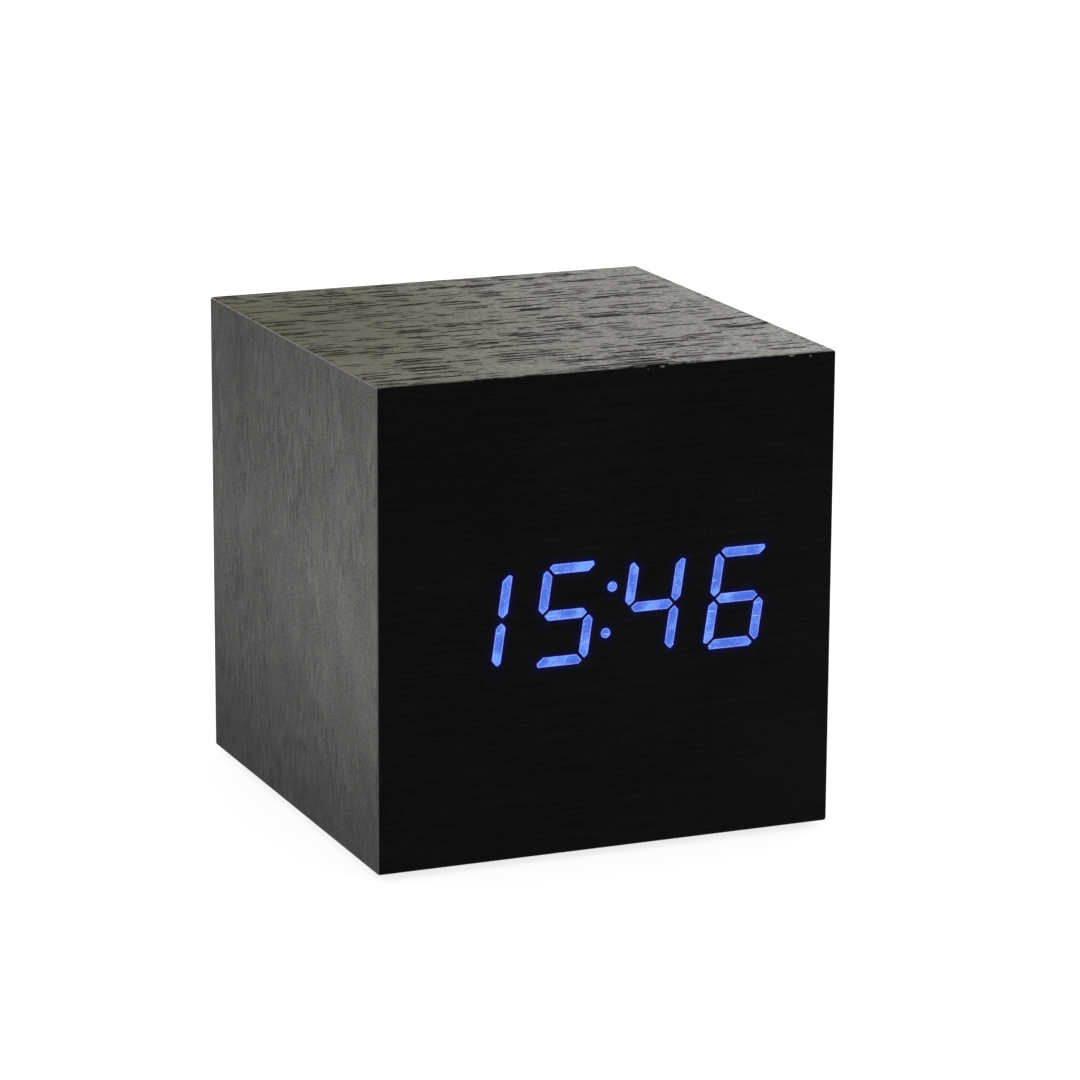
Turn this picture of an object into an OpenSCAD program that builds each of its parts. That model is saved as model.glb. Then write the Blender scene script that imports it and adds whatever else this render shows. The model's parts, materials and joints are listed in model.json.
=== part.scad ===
// Cube alarm clock: a mitred wooden case with an LED display that glows through its front skin.
// Millimetres. +Z is up, the face looks along -Y, and the origin is on the table under the case's middle.

/* [Case] */
// Width of the case, left to right
case_w = 68; // [62:1:80]
// Depth of the case, front to back
case_d = 68; // [62:1:80]
// Height of the case without its pads
case_h = 68; // [62:1:80]
// Thickness of each board
board_t = 5; // [4.6:0.2:5.4]
// Thickness of the translucent skin on the front
skin_t = 0.6; // [0.4:0.1:1]
// Width of the bevel that eases the outer edges
edge_cut = 0.25; // [0.2:0.05:0.8]
// Height of the rubber pads under the case
pad_h = 1; // [0.8:0.1:2]
// Diameter of the rubber pads
pad_d = 8; // [6:0.5:8]
// Distance of the pads' centres from the case's left and right sides
pad_inset_x = 6; // [5:0.25:6]
// Distance of the pads' centres from the case's front and back
pad_inset_y = 8.5; // [5:0.25:12]

/* [Digits] */
// Distance between the centres of neighbouring digits
digit_pitch = 12.9; // [12:0.05:13.2]
// Width of a digit over its segments
digit_w = 8.3; // [8:0.05:8.8]
// Height of a digit over its segments
digit_h = 14.35; // [13:0.05:16]
// Width of a segment's bar
segment_t = 1.35; // [1.2:0.05:1.8]
// Gap between the ends of neighbouring segments
segment_gap = 0.45; // [0.2:0.05:0.6]
// How far the outer corner of a mitred segment end is cut back
corner_clip = 0.45; // [0.2:0.05:0.6]
// Length cut off both sides of a slanted segment end's sharp tip
tip_cut = 0.75; // [0.2:0.05:1]
// Lean of the digits, in degrees
slant = 8.2; // [0:0.1:10]
// Diameter of the colon's dots
colon_d = 1.4; // [1.2:0.05:2]
// Height between the colon's dots
colon_spread = 6.5; // [5:0.1:8]
// Height of the display's centre above the middle of the case
display_rise = 0.2; // [-2:0.1:3]

/* [Display module] */
// Depth of the reflector block behind the skin
reflector_depth = 8; // [7:0.5:9]
// Rim of the reflector beside the outer digits
reflector_side = 0.8; // [0.5:0.1:1.2]
// Rim of the reflector above and below the digits
reflector_rim = 2.25; // [1.5:0.25:3]
// Gap between the reflector and its window in the front board
window_gap = 0.2; // [0.1:0.05:0.4]
// Depth of the free space that the resin leaves over the chips
resin_space = 1; // [0.8:0.1:1.5]
// Length of an LED chip
chip_l = 1.6; // [1:0.1:2]
// Width of an LED chip
chip_w = 0.8; // [0.5:0.1:1]
// Height of an LED chip
chip_h = 0.7; // [0.4:0.1:0.7]
// Gap between the display board and the case's side boards
display_side_gap = 1.5; // [0.5:0.25:3]
// Height of the display board
display_board_h = 31; // [28:1:34]
// Distance of the display board's screws from its vertical edges
display_hole_x = 7; // [5:0.5:10]
// Distance of the display board's screws from its top and bottom edges
display_hole_z = 3; // [2.8:0.2:3.2]

/* [Rear panel] */
// Width of the bezel
bezel_w = 54; // [53:0.5:55]
// Height of the bezel
bezel_h = 24; // [24:0.5:28]
// Thickness of the bezel's plate
bezel_t = 1.6; // [1.4:0.1:2]
// Depth of the bezel's face below the rear board's face
bezel_recess = 0.6; // [0.5:0.1:0.8]
// Corner radius of the bezel
bezel_corner = 2; // [1:0.5:3]
// Gap between the bezel and the board around it
bezel_fit = 0.2; // [0.1:0.05:0.3]
// Width of the ledge that the bezel sits on at its two ends
bezel_ledge_x = 4; // [3.8:0.1:4.4]
// Width of the ledge that the bezel sits on along its top and bottom
bezel_ledge_z = 2; // [1.5:0.25:2]
// Length of the rim that centres the bezel in the board's opening
rim_l = 2; // [1:0.25:2.4]
// Wall of that rim
rim_t = 1; // [0.8:0.1:1]
// Distance of the bezel's centre below the case's top
bezel_drop = 25; // [24:0.5:28]
// Distance of the two rows of controls from the bezel's centre line
row_offset = 4.4; // [4.3:0.1:4.5]
// Distance between the controls of a row
control_pitch = 14; // [12:0.5:15]
// Diameter of the microphone's hole
mic_hole_d = 1.5; // [1:0.1:2]
// Number of sound slots
slot_count = 5; // [3:1:5]
// Width of a sound slot
slot_w = 1.1; // [0.8:0.1:1.4]
// Height of a sound slot
slot_h = 5; // [3:0.5:6]
// Distance between the sound slots
slot_pitch = 2.2; // [2:0.1:2.6]

/* [Buttons] */
// Diameter of a button's cap
button_d = 6.5; // [5:0.1:6.8]
// Gap round a cap in its hole
button_gap = 0.1; // [0.05:0.05:0.2]
// How far a cap stands out of the bezel
button_proud = 0.5; // [0.5:0.05:0.6]
// Edge rounding of a cap
button_edge = 0.4; // [0.2:0.1:0.5]
// Diameter of the flange that keeps a cap in
button_flange_d = 8; // [7.6:0.1:8.2]
// Thickness of that flange
button_flange_t = 0.9; // [0.6:0.1:1.2]
// Play between that flange and the bezel
button_play = 0.1; // [0.05:0.05:0.2]
// Diameter of the stem that presses the plunger
stem_d = 3; // [2:0.2:3.4]
// Travel of a button
button_travel = 0.5; // [0.25:0.05:0.5]
// Width of a switch body
switch_w = 6; // [5:0.5:6.5]
// Height of a switch body
switch_h = 3.5; // [3:0.25:4]
// Diameter of a switch plunger
plunger_d = 3.4; // [3:0.1:3.8]
// How far a plunger stands out of its switch
plunger_out = 1.5; // [1:0.1:1.8]
// How deep a plunger reaches into its switch
plunger_in = 0.8; // [0.5:0.1:1]
// Running gap round a plunger
plunger_gap = 0.05; // [0.03:0.01:0.1]

/* [Main board] */
// Thickness of the circuit boards
pcb_t = 1.6; // [1:0.2:2]
// Width of the main board
main_board_w = 50; // [48:1:54]
// Height of the main board
main_board_h = 36; // [36:1:38]
// Distance of the main board's screws from its edges
main_hole_inset = 3; // [2.8:0.1:3.2]
// Distance between the main board and the rear board
main_gap = 5; // [4.6:0.1:5]
// Width of the power jack
jack_w = 7; // [6.6:0.1:7.2]
// Diameter of the jack's round mouth
jack_mouth_d = 6.2; // [5.6:0.1:6.4]
// Gap round the jack's mouth in the bezel
jack_gap = 0.2; // [0.1:0.05:0.3]
// Bore of the jack
jack_bore_d = 3.6; // [3.5:0.1:4]
// Depth of the jack's bore
jack_depth = 7.5; // [6:0.5:8]
// Diameter of the jack's centre pin
jack_pin_d = 1.3; // [1.1:0.1:1.5]
// How far the pin's tip stays below the jack's mouth
jack_pin_drop = 1; // [0.5:0.25:2]
// Diameter of the buzzer
buzzer_d = 9; // [8:0.5:9]
// Height of the buzzer
buzzer_h = 5.5; // [4:0.5:6]
// Diameter of the buzzer's sound hole
buzzer_hole_d = 2; // [1:0.25:3]
// Diameter of the microphone capsule
mic_d = 6; // [4:0.5:6.5]
// Height of the microphone capsule
mic_h = 4.8; // [3:0.2:6]
// Diameter of the felt recess in the microphone's front
mic_felt_d = 4; // [2:0.25:5]
// Depth of the felt recess
mic_felt_depth = 0.4; // [0.2:0.1:0.8]
// Length of the controller chip
controller_l = 12.8; // [10:0.2:14]
// Width of the chips' bodies
chip_body_w = 7.5; // [6:0.5:8]
// Height of the chips' bodies
chip_body_h = 2.3; // [1.5:0.1:3]
// Length of the display driver
driver_l = 10.3; // [8:0.1:12]
// Distance between a chip's legs
leg_pitch = 1.27; // [1.2:0.01:1.4]
// Width of a chip's leg
leg_w = 0.42; // [0.3:0.02:0.6]
// Thickness of a chip's leg
leg_t = 0.28; // [0.2:0.02:0.4]
// How far a chip's leg reaches out over its board
leg_l = 1.25; // [0.8:0.05:1.5]
// Diameter of the crystal's can
crystal_d = 3; // [2:0.1:3.2]
// Length of the crystal's can
crystal_l = 8; // [6:0.5:9]
// Diameter of the coin cell
coin_d = 20; // [18:0.5:20]
// Height of the coin cell
coin_h = 3.2; // [2:0.1:3.4]
// Wall of the coin cell's holder
holder_wall = 1.2; // [1:0.1:1.4]
// Gap round the coin cell in its holder
coin_gap = 0.1; // [0.05:0.05:0.2]
// Width of the gap through which the coin cell is pushed out
push_w = 10; // [6:0.5:14]
// Width of the display ribbon
ribbon_w = 12.7; // [10:0.1:13]
// Thickness of the display ribbon
ribbon_t = 0.9; // [0.6:0.1:1.2]
// Extra length of a ribbon header on each side of the ribbon
header_side = 1.2; // [1:0.1:1.6]
// Width of a ribbon header
header_w = 2.6; // [2.4:0.1:3.2]
// Height of a ribbon header
header_h = 5; // [4:0.5:6]

/* [Batteries] */
// Diameter of a cell
cell_d = 10.5; // [10:0.1:10.5]
// Length of a cell with its nub
cell_l = 44.5; // [44:0.1:45]
// Diameter of a cell's nub
nub_d = 3.8; // [3:0.1:4]
// Height of a cell's nub
nub_l = 1; // [0.8:0.1:1.4]
// Edge rounding of a cell
cell_edge = 0.6; // [0.3:0.1:1]
// Distance between the cells' axes
cell_pitch = 11.2; // [11:0.1:11.6]
// Gap between the outer cells and the tray's walls
cell_side = 0.6; // [0.4:0.1:1]
// Gap between the cells and the door
cell_lift = 0.3; // [0.2:0.05:0.5]
// Gap between the cells and their troughs in the tray's roof
trough_gap = 0.5; // [0.45:0.05:0.6]
// Height above the cells' axes at which the troughs part
trough_rise = 2.1; // [1.6:0.1:3]
// Length of a contact spring under its cell
spring_l = 4.2; // [4:0.1:5]
// Wire diameter of a contact spring
spring_wire = 0.6; // [0.5:0.05:0.7]
// Radius of a contact spring at its plate
spring_base_r = 3.9; // [3.6:0.1:4]
// Radius of a contact spring at its cell
spring_tip_r = 2.2; // [1.8:0.1:2.6]
// Number of coils in a contact spring
spring_coils = 3; // [2:1:3]
// Thickness of the contact plates
contact_t = 0.4; // [0.3:0.05:0.5]
// Width of a contact plate under one cell
contact_w = 9; // [8.6:0.1:9.4]
// Height of a contact plate
contact_h = 9; // [8.6:0.1:9]
// Gap round a contact plate in its pocket
contact_gap = 0.1; // [0.05:0.05:0.2]
// Width of a solder tab
tab_w = 3; // [2:0.25:4]
// How far a solder tab stands above the tray
tab_up = 1.2; // [1.2:0.1:3]

/* [Battery tray] */
// Wall of the tray
tray_wall = 1.2; // [1:0.1:1.6]
// Thickness of the tray's roof over the troughs
roof_t = 1.2; // [1:0.1:1.6]
// Gap between the tray and its opening in the bottom board
tray_fit = 0.2; // [0.1:0.05:0.3]
// Thickness of the tray's flange
flange_t = 1.6; // [1.4:0.1:1.8]
// Width of the flange along the tray's sides
flange_side = 5.2; // [5:0.1:5.6]
// Width of the flange at the tray's ends
flange_end = 2; // [1.5:0.1:2]
// Corner radius of the flange
flange_corner = 2; // [1:0.5:3]
// Distance of the tray's screws from the tray's middle
tray_screw_y = 19; // [15:0.5:22]
// Thickness of the door
door_t = 1.5; // [1.4:0.05:1.6]
// Depth of the door's face below the case's underside
door_recess = 0.1; // [0.1:0.05:0.2]
// Gap along the door's sides
door_gap = 0.3; // [0.2:0.05:0.5]
// Gap between the door's latch end and the tray
latch_gap = 0.4; // [0.35:0.05:0.6]
// Radius of the bead on the latch
latch_bead_r = 0.3; // [0.2:0.05:0.3]
// Width of the latch's finger
latch_w = 9; // [7:0.5:11]
// Length of the latch's finger
latch_l = 7; // [5:0.5:9]
// Width of the slots beside the latch's finger
latch_slot = 0.8; // [0.6:0.1:1.2]
// Length of the lip that the door's tongues hook over
lip_l = 3; // [2.6:0.1:3.4]
// Thickness of that lip, rounded at its edge
lip_t = 0.8; // [0.7:0.05:0.9]
// Gap between the lip's edge and the door
lip_gap = 0.4; // [0.4:0.05:0.6]
// Gap between the lip and the tongues
tongue_gap = 0.1; // [0.05:0.05:0.15]
// Width of a tongue
tongue_w = 4; // [3:0.25:4.5]
// How far a tongue reaches past the hinge line
tongue_l = 1.3; // [1:0.1:1.6]
// Height of the door's stiffening ribs
rib_h = 1.2; // [0.8:0.1:1.6]
// Thickness of the door's stiffening ribs
rib_t = 1.2; // [1:0.1:1.6]
// Radius of the thumb scoop beside the latch
scoop_r = 6; // [5:0.25:8]
// How far the thumb scoop reaches into the flange
scoop_reach = 2.4; // [1.5:0.1:3]
// Depth of the thumb scoop
scoop_depth = 0.9; // [0.5:0.1:1]

/* [Screws] */
// Diameter of the screws' shanks
screw_d = 2.2; // [1.8:0.1:2.4]
// Gap between a shank and its hole
screw_gap = 0.05; // [0.05:0.01:0.1]
// Diameter of the screws' heads
head_d = 3.6; // [3.2:0.1:3.8]
// Height of the screws' heads
head_h = 0.9; // [0.7:0.05:1]
// Gap between a head and its counterbore
head_gap = 0.15; // [0.1:0.05:0.2]
// Length of the crossed slots in the heads
cross_l = 2; // [1.6:0.1:2.4]
// Width and depth of those slots
cross_w = 0.5; // [0.3:0.05:0.6]
// Wood left in front of a screw's tip
screw_stop = 0.8; // [0.6:0.1:1]
// Diameter of the spacers between boards
spacer_d = 5; // [4:0.25:5.5]

/* [Hidden] */
$fn = 48;

// Small overlap that makes a cut break through a face
cut = 0.5;

// Colours
wood = [0.10, 0.10, 0.10];
core = [0.45, 0.33, 0.22];
glow = [0.35, 0.49, 1.00];
black_plastic = [0.09, 0.09, 0.10];
grey_plastic = [0.30, 0.30, 0.32];
white_plastic = [0.90, 0.90, 0.88];
green_board = [0.05, 0.30, 0.16];
steel = [0.75, 0.75, 0.74];
brass = [0.80, 0.66, 0.35];
rubber = [0.07, 0.07, 0.07];
red_plastic = [0.70, 0.08, 0.06];

// Case levels
under_z = pad_h;
top_z = pad_h + case_h;
middle_z = pad_h + case_h / 2;
front_y = -case_d / 2;
rear_y = case_d / 2;
skin_y = front_y + skin_t;
front_in_y = front_y + board_t;
rear_in_y = rear_y - board_t;

// Digit layout: half distances between the segments' centre lines, and the shift that opens the mitred gaps
column_x = (digit_w - segment_t) / 2;
row_z = (digit_h - segment_t) / 2;
half_t = segment_t / 2;
gap_shift = segment_gap / sqrt(2);
tip_step = tip_cut / sqrt(2);
// How far a mitre runs past its bar's centre line before the outer corner is cut back
mitre_run = half_t - corner_clip;
lean = tan(slant);
display_z = middle_z + display_rise;
digit_x = [for (i = [-1.5:1:1.5]) i * digit_pitch];
lit_segments = ["bc", "acdfg", "bcfg", "acdefg"];
segment_names = "abcdefg";

// Display module
reflector_w = 3 * digit_pitch + digit_w + digit_h * lean + 2 * reflector_side;
reflector_h = digit_h + 2 * reflector_rim;
display_board_w = case_w - 2 * board_t - 2 * display_side_gap;
display_board_y = skin_y + reflector_depth;
display_back_y = display_board_y + pcb_t;
resin_y = display_board_y - resin_space;
display_holes = [
  for (sx = [-1, 1], sz = [-1, 1])
    [sx * (display_board_w / 2 - display_hole_x), display_z + sz * (display_board_h / 2 - display_hole_z)]
];
header_len = ribbon_w + 2 * header_side;

// Rear panel and main board
bezel_z = top_z - bezel_drop;
bezel_face_y = rear_y - bezel_recess;
bezel_seat_y = bezel_face_y - bezel_t;
opening_w = bezel_w - 2 * bezel_ledge_x;
opening_h = bezel_h - 2 * bezel_ledge_z;
button_z = bezel_z + row_offset;
socket_z = bezel_z - row_offset;
button_x = [-control_pitch, 0, control_pitch];
jack_x = -control_pitch;
mic_x = control_pitch;
bezel_screw_x = (bezel_w - bezel_ledge_x) / 2;
main_out_y = rear_in_y - main_gap;
main_in_y = main_out_y - pcb_t;
main_holes = [
  for (sx = [-1, 1], sz = [-1, 1])
    [sx * (main_board_w / 2 - main_hole_inset), bezel_z + sz * (main_board_h / 2 - main_hole_inset)]
];
plunger_tip_y = main_out_y + switch_h + plunger_out;
// Places on the inner side of the main board and of the display board, measured from their centres
controller_at = [-9, 2];
crystal_at = [-20, 2];
holder_at = [11, -4];
main_header_at = [-4, 13];
driver_at = [12, -1];
display_header_at = [-4, 11];

// Battery compartment
tray_in_w = 2 * cell_pitch + cell_d + 2 * cell_side;
tray_in_l = cell_l + spring_l;
tray_out_w = tray_in_w + 2 * tray_wall;
tray_out_l = tray_in_l + 2 * tray_wall;
flange_w = tray_out_w + 2 * flange_side;
flange_l = tray_out_l + 2 * flange_end;
door_z0 = under_z + door_recess;
door_z1 = door_z0 + door_t;
cell_z = door_z1 + cell_lift + cell_d / 2;
trough_r = cell_d / 2 + trough_gap;
tray_top_z = cell_z + trough_r + roof_t;
cell_x = [-cell_pitch, 0, cell_pitch];
cell_gap_x = [-cell_pitch / 2, cell_pitch / 2];
// Level up to which the tray is open across all cells, above which each cell has its own trough
trough_z = cell_z + trough_rise;
tray_screw_x = tray_out_w / 2 + flange_side / 2;
// Hinge line of the door: the centre of the lip's round edge
hinge_y = -tray_in_l / 2 + lip_l - lip_t / 2;
hinge_z = under_z + lip_t / 2;
door_front_y = -tray_in_l / 2 + lip_l + lip_gap;
door_back_y = tray_in_l / 2 - latch_gap;

// Springs: the cell's turning side, as +1 where its nub points to the back, and the spring at the other end
nub_side = [-1, 1, -1];
spring_steps = 8;
spring_sides = 6;

// Leads from the tray's tabs to the main board: straight stubs at both ends, and points between them
lead_d = 1.2;
lead_sides = 8;
lead_steps = 3;
lead_stub = 1;
lead_lift = 0.1;
lead_start_z = tray_top_z + lead_lift + lead_d / 2;
red_points = [[-11.5, -18, 16.6], [-12, -8, 16.8], [-11.5, 4, 17], [-11, 11, 19.5], [-10.2, 14.5, 25]];
black_points = [[10, 18.5, 16.4], [6, 15, 17.4], [0, 13, 20], [-4, 13.5, 25]];
red_end = [-10, main_in_y, 30];
black_end = [-5, main_in_y, 30];
// Display ribbon in side view: end points at the headers and the handles that bend it
ribbon_steps = 24;
ribbon_start = [display_back_y + header_h, display_z + display_header_at[1]];
ribbon_end = [main_in_y - header_h, bezel_z + main_header_at[1]];
ribbon_pull = 22;

// Outline helpers

module rounded_square(w, h, r) {
  square([w - 2 * r, h], center = true);
  square([w, h - 2 * r], center = true);
  for (sx = [-1, 1], sy = [-1, 1]) translate([sx * (w / 2 - r), sy * (h / 2 - r)]) circle(r);
}

module slot_outline(w, h) {
  square([w, h - w], center = true);
  for (side = [-1, 1]) translate([0, side * (h - w) / 2]) circle(d = w);
}

module eased_square(w, h) {
  c = edge_cut;
  polygon([
    [c - w / 2, -h / 2], [w / 2 - c, -h / 2], [w / 2, c - h / 2], [w / 2, h / 2 - c],
    [w / 2 - c, h / 2], [c - w / 2, h / 2], [-w / 2, h / 2 - c], [-w / 2, c - h / 2]
  ]);
}

// Draws a flat outline, given in X and Z, from y0 to y1
module slab(y0, y1) {
  translate([0, y1, 0]) rotate([90, 0, 0]) linear_extrude(y1 - y0) children();
}

// Puts a round along Y from y0 to y1
module rod(x, z, d, y0, y1) {
  translate([x, y0, z]) rotate([-90, 0, 0]) cylinder(d = d, h = y1 - y0);
}

// Screw with its head's seat at the origin and its shank along +Z
module screw(shank) {
  cylinder(d = screw_d, h = shank);
  difference() {
    translate([0, 0, -head_h]) cylinder(d = head_d, h = head_h);
    for (a = [0, 90]) rotate(a)
      translate([-cross_l / 2, -cross_w / 2, -head_h - cut]) cube([cross_l, cross_w, cut + cross_w]);
  }
}

// Sweep helpers

function unit(v) = v / norm(v);

function heading(p, i) = unit(p[min(i + 1, len(p) - 1)] - p[max(i - 1, 0)]);

function carried(u, t) = unit(u - (u * t) * t);

function side_vectors(p, u, i = 0) =
  i == len(p) ? [] :
  let (v = carried(u, heading(p, i))) concat([v], side_vectors(p, v, i + 1));

module tube(path, d, sides, side) {
  n = len(path);
  u = side_vectors(path, side);
  points = [
    for (i = [0:n - 1])
      let (w = cross(heading(path, i), u[i]))
        for (k = [0:sides - 1])
          path[i] + d / 2 * (cos(360 * k / sides) * u[i] + sin(360 * k / sides) * w)
  ];
  walls = [
    for (i = [0:n - 2], k = [0:sides - 1])
      let (a = i * sides + k, b = i * sides + (k + 1) % sides)
        each [[a, a + sides, b], [b, a + sides, b + sides]]
  ];
  first = [for (k = [1:sides - 2]) [0, k, k + 1]];
  last = [for (k = [1:sides - 2]) [(n - 1) * sides, (n - 1) * sides + k + 1, (n - 1) * sides + k]];
  polyhedron(points, concat(first, walls, last));
}

// Point of a smooth curve through the route, at step s between points i and i + 1
function route_point(p, i, s) =
  let (
    a = p[max(i - 1, 0)], b = p[i], c = p[i + 1], d = p[min(i + 2, len(p) - 1)],
    m = (c - a) / 2, q = (d - b) / 2
  )
  (2 * s^3 - 3 * s^2 + 1) * b + (s^3 - 2 * s^2 + s) * m + (3 * s^2 - 2 * s^3) * c + (s^3 - s^2) * q;

// Route from a tab's face, along the direction that it leaves in, to the main board's face
function lead_route(from, side, points, to) = concat(
  [for (k = [0:2]) from + [0, side * k * lead_stub, 0]],
  points,
  [for (k = [2:-1:0]) to - [0, k * lead_stub, 0]]
);

function smooth_route(p) = concat(
  [for (i = [0:len(p) - 2], k = [0:lead_steps - 1]) route_point(p, i, k / lead_steps)],
  [p[len(p) - 1]]
);

// Case boards

// Board of a box with all edges mitred: outer face at Z 0, w along X, h along Y, between two depths
module mitred(w, h, d0, d1) {
  intersection() {
    rotate([90, 0, 0]) linear_extrude(h, center = true)
      polygon([[d0 - w / 2, -d0], [w / 2 - d0, -d0], [w / 2 - d1, -d1], [d1 - w / 2, -d1]]);
    rotate([90, 0, 90]) linear_extrude(w, center = true)
      polygon([[d0 - h / 2, -d0], [h / 2 - d0, -d0], [h / 2 - d1, -d1], [d1 - h / 2, -d1]]);
  }
}

// Outside of the whole case, with its eased edges
module case_form() {
  intersection() {
    translate([0, 0, under_z]) linear_extrude(case_h) eased_square(case_w, case_d);
    translate([0, 0, middle_z]) slab(front_y, rear_y) eased_square(case_w, case_h);
    translate([0, 0, middle_z]) rotate([90, 0, 90]) linear_extrude(case_w, center = true)
      eased_square(case_d, case_h);
  }
}

module top_board() {
  color(wood) intersection() {
    case_form();
    translate([0, 0, top_z]) mitred(case_w, case_d, 0, board_t);
  }
}

module left_board() {
  color(wood) intersection() {
    case_form();
    translate([-case_w / 2, 0, middle_z]) rotate([0, -90, 0]) mitred(case_h, case_d, 0, board_t);
  }
}

module right_board() {
  color(wood) intersection() {
    case_form();
    translate([case_w / 2, 0, middle_z]) rotate([0, 90, 0]) mitred(case_h, case_d, 0, board_t);
  }
}

// Opening for the tray, a rebate for its flange, and pilot holes for its screws
module bottom_board() {
  color(wood) difference() {
    intersection() {
      case_form();
      translate([0, 0, under_z]) rotate([180, 0, 0]) mitred(case_w, case_d, 0, board_t);
    }
    translate([0, 0, under_z - cut]) linear_extrude(board_t + 2 * cut)
      square([tray_out_w + 2 * tray_fit, tray_out_l + 2 * tray_fit], center = true);
    translate([0, 0, under_z - cut]) linear_extrude(flange_t + cut)
      rounded_square(flange_w + 2 * tray_fit, flange_l + 2 * tray_fit, flange_corner + tray_fit);
    for (sx = [-1, 1], sy = [-1, 1])
      translate([sx * tray_screw_x, sy * tray_screw_y, under_z])
        cylinder(d = screw_d + 2 * screw_gap, h = board_t - screw_stop + screw_gap);
  }
}

// Opening for the controls, a rebate for the bezel, and pilot holes for both sets of screws
module rear_board() {
  color(wood) difference() {
    intersection() {
      case_form();
      translate([0, rear_y, middle_z]) rotate([-90, 0, 0]) mitred(case_w, case_h, 0, board_t);
    }
    translate([0, 0, bezel_z]) slab(rear_in_y - cut, rear_y + cut)
      square([opening_w, opening_h], center = true);
    translate([0, 0, bezel_z]) slab(bezel_seat_y, rear_y + cut)
      rounded_square(bezel_w + 2 * bezel_fit, bezel_h + 2 * bezel_fit, bezel_corner + bezel_fit);
    for (sx = [-1, 1])
      rod(sx * bezel_screw_x, bezel_z, screw_d + 2 * screw_gap, rear_in_y + screw_stop - screw_gap, rear_y);
    for (p = main_holes)
      rod(p[0], p[1], screw_d + 2 * screw_gap, rear_in_y - cut, rear_y - screw_stop + screw_gap);
  }
}

// Window for the reflector, and pilot holes for the display board's screws
module front_board() {
  color(core) difference() {
    intersection() {
      case_form();
      translate([0, front_y, middle_z]) rotate([90, 0, 0]) mitred(case_w, case_h, skin_t, board_t);
    }
    translate([0, 0, display_z]) slab(front_y - cut, front_in_y + cut)
      square([reflector_w + 2 * window_gap, reflector_h + 2 * window_gap], center = true);
    for (p = display_holes)
      rod(p[0], p[1], screw_d + 2 * screw_gap, skin_y + screw_stop - screw_gap, front_in_y + cut);
  }
}

// Display outlines

// Outline of one segment of an upright digit about the digit's centre
function upright_segment(s) =
  s == "a" ? [
    [column_x + half_t - gap_shift - tip_cut, row_z + half_t],
    [gap_shift - mitre_run + corner_clip - column_x, row_z + half_t],
    [gap_shift - mitre_run - column_x, row_z + mitre_run],
    [gap_shift + half_t - column_x, row_z - half_t],
    [column_x - half_t - gap_shift, row_z - half_t],
    [column_x + half_t - gap_shift - tip_step, row_z + half_t - tip_step]
  ] :
  s == "b" ? [
    [column_x + half_t, row_z + half_t - gap_shift - tip_cut],
    [column_x + half_t - tip_step, row_z + half_t - gap_shift - tip_step],
    [column_x - half_t, row_z - half_t - gap_shift],
    [column_x - half_t, gap_shift + half_t],
    [column_x, gap_shift],
    [column_x + half_t, gap_shift + half_t]
  ] :
  s == "f" ? [
    [-column_x - mitre_run, row_z - gap_shift + mitre_run],
    [-column_x - half_t, row_z - gap_shift + mitre_run - corner_clip],
    [-column_x - half_t, gap_shift + half_t],
    [-column_x, gap_shift],
    [half_t - column_x, gap_shift + half_t],
    [half_t - column_x, row_z - gap_shift - half_t]
  ] :
  s == "g" ? [
    [column_x - gap_shift, 0],
    [column_x - gap_shift - half_t, half_t],
    [half_t + gap_shift - column_x, half_t],
    [gap_shift - column_x, 0],
    [half_t + gap_shift - column_x, -half_t],
    [column_x - gap_shift - half_t, -half_t]
  ] :
  -upright_segment(s == "c" ? "f" : s == "d" ? "a" : "b");

function leaned(p) = [p[0] + p[1] * lean, p[1]];

module segment(s) {
  polygon([for (p = upright_segment(s)) leaned(p)]);
}

module digit_outline(i, names) {
  translate([digit_x[i], display_z]) for (s = names) segment(s);
}

module colon_outline() {
  for (side = [-1, 1])
    translate([0, display_z] + leaned([0, side * colon_spread / 2])) circle(d = colon_d);
}

// Centre of a segment in its digit
function segment_centre(s) =
  s == "a" ? [0, row_z] :
  s == "d" ? [0, -row_z] :
  s == "g" ? [0, 0] :
  [s == "b" || s == "c" ? column_x : -column_x, s == "b" || s == "f" ? row_z / 2 : -row_z / 2];

function lies_flat(s) = s == "a" || s == "d" || s == "g";

// Display pieces

module front_veneer() {
  color(wood) difference() {
    intersection() {
      case_form();
      translate([0, front_y, middle_z]) rotate([90, 0, 0]) mitred(case_w, case_h, 0, skin_t);
    }
    slab(front_y - cut, skin_y + cut) {
      for (i = [0:3]) digit_outline(i, lit_segments[i]);
      colon_outline();
    }
  }
}

module lit_digit(i) {
  color(glow) slab(front_y, skin_y) digit_outline(i, lit_segments[i]);
}

module lit_colon() {
  color(glow) slab(front_y, skin_y) colon_outline();
}

module display_reflector() {
  color(grey_plastic) difference() {
    translate([0, 0, display_z]) slab(skin_y, display_board_y)
      square([reflector_w, reflector_h], center = true);
    slab(skin_y - cut, display_board_y + cut) {
      for (i = [0:3]) digit_outline(i, segment_names);
      colon_outline();
    }
  }
}

module segment_resin() {
  color(white_plastic) slab(skin_y, resin_y) {
    for (i = [0:3]) digit_outline(i, segment_names);
    colon_outline();
  }
}

module led_chip(at, flat) {
  translate([at[0], display_board_y - chip_h / 2, display_z + at[1]]) rotate([0, flat ? 0 : 90, 0])
    cube([chip_l, chip_h, chip_w], center = true);
}

module led_chips() {
  color(brass) {
    for (i = [0:3], s = segment_names)
      led_chip([digit_x[i], 0] + leaned(segment_centre(s)), lies_flat(s));
    for (side = [-1, 1])
      translate([0, display_board_y - chip_h / 2, display_z])
        translate([side * colon_spread / 2 * lean, 0, side * colon_spread / 2])
          cube([chip_w, chip_h, chip_w], center = true);
  }
}

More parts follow.
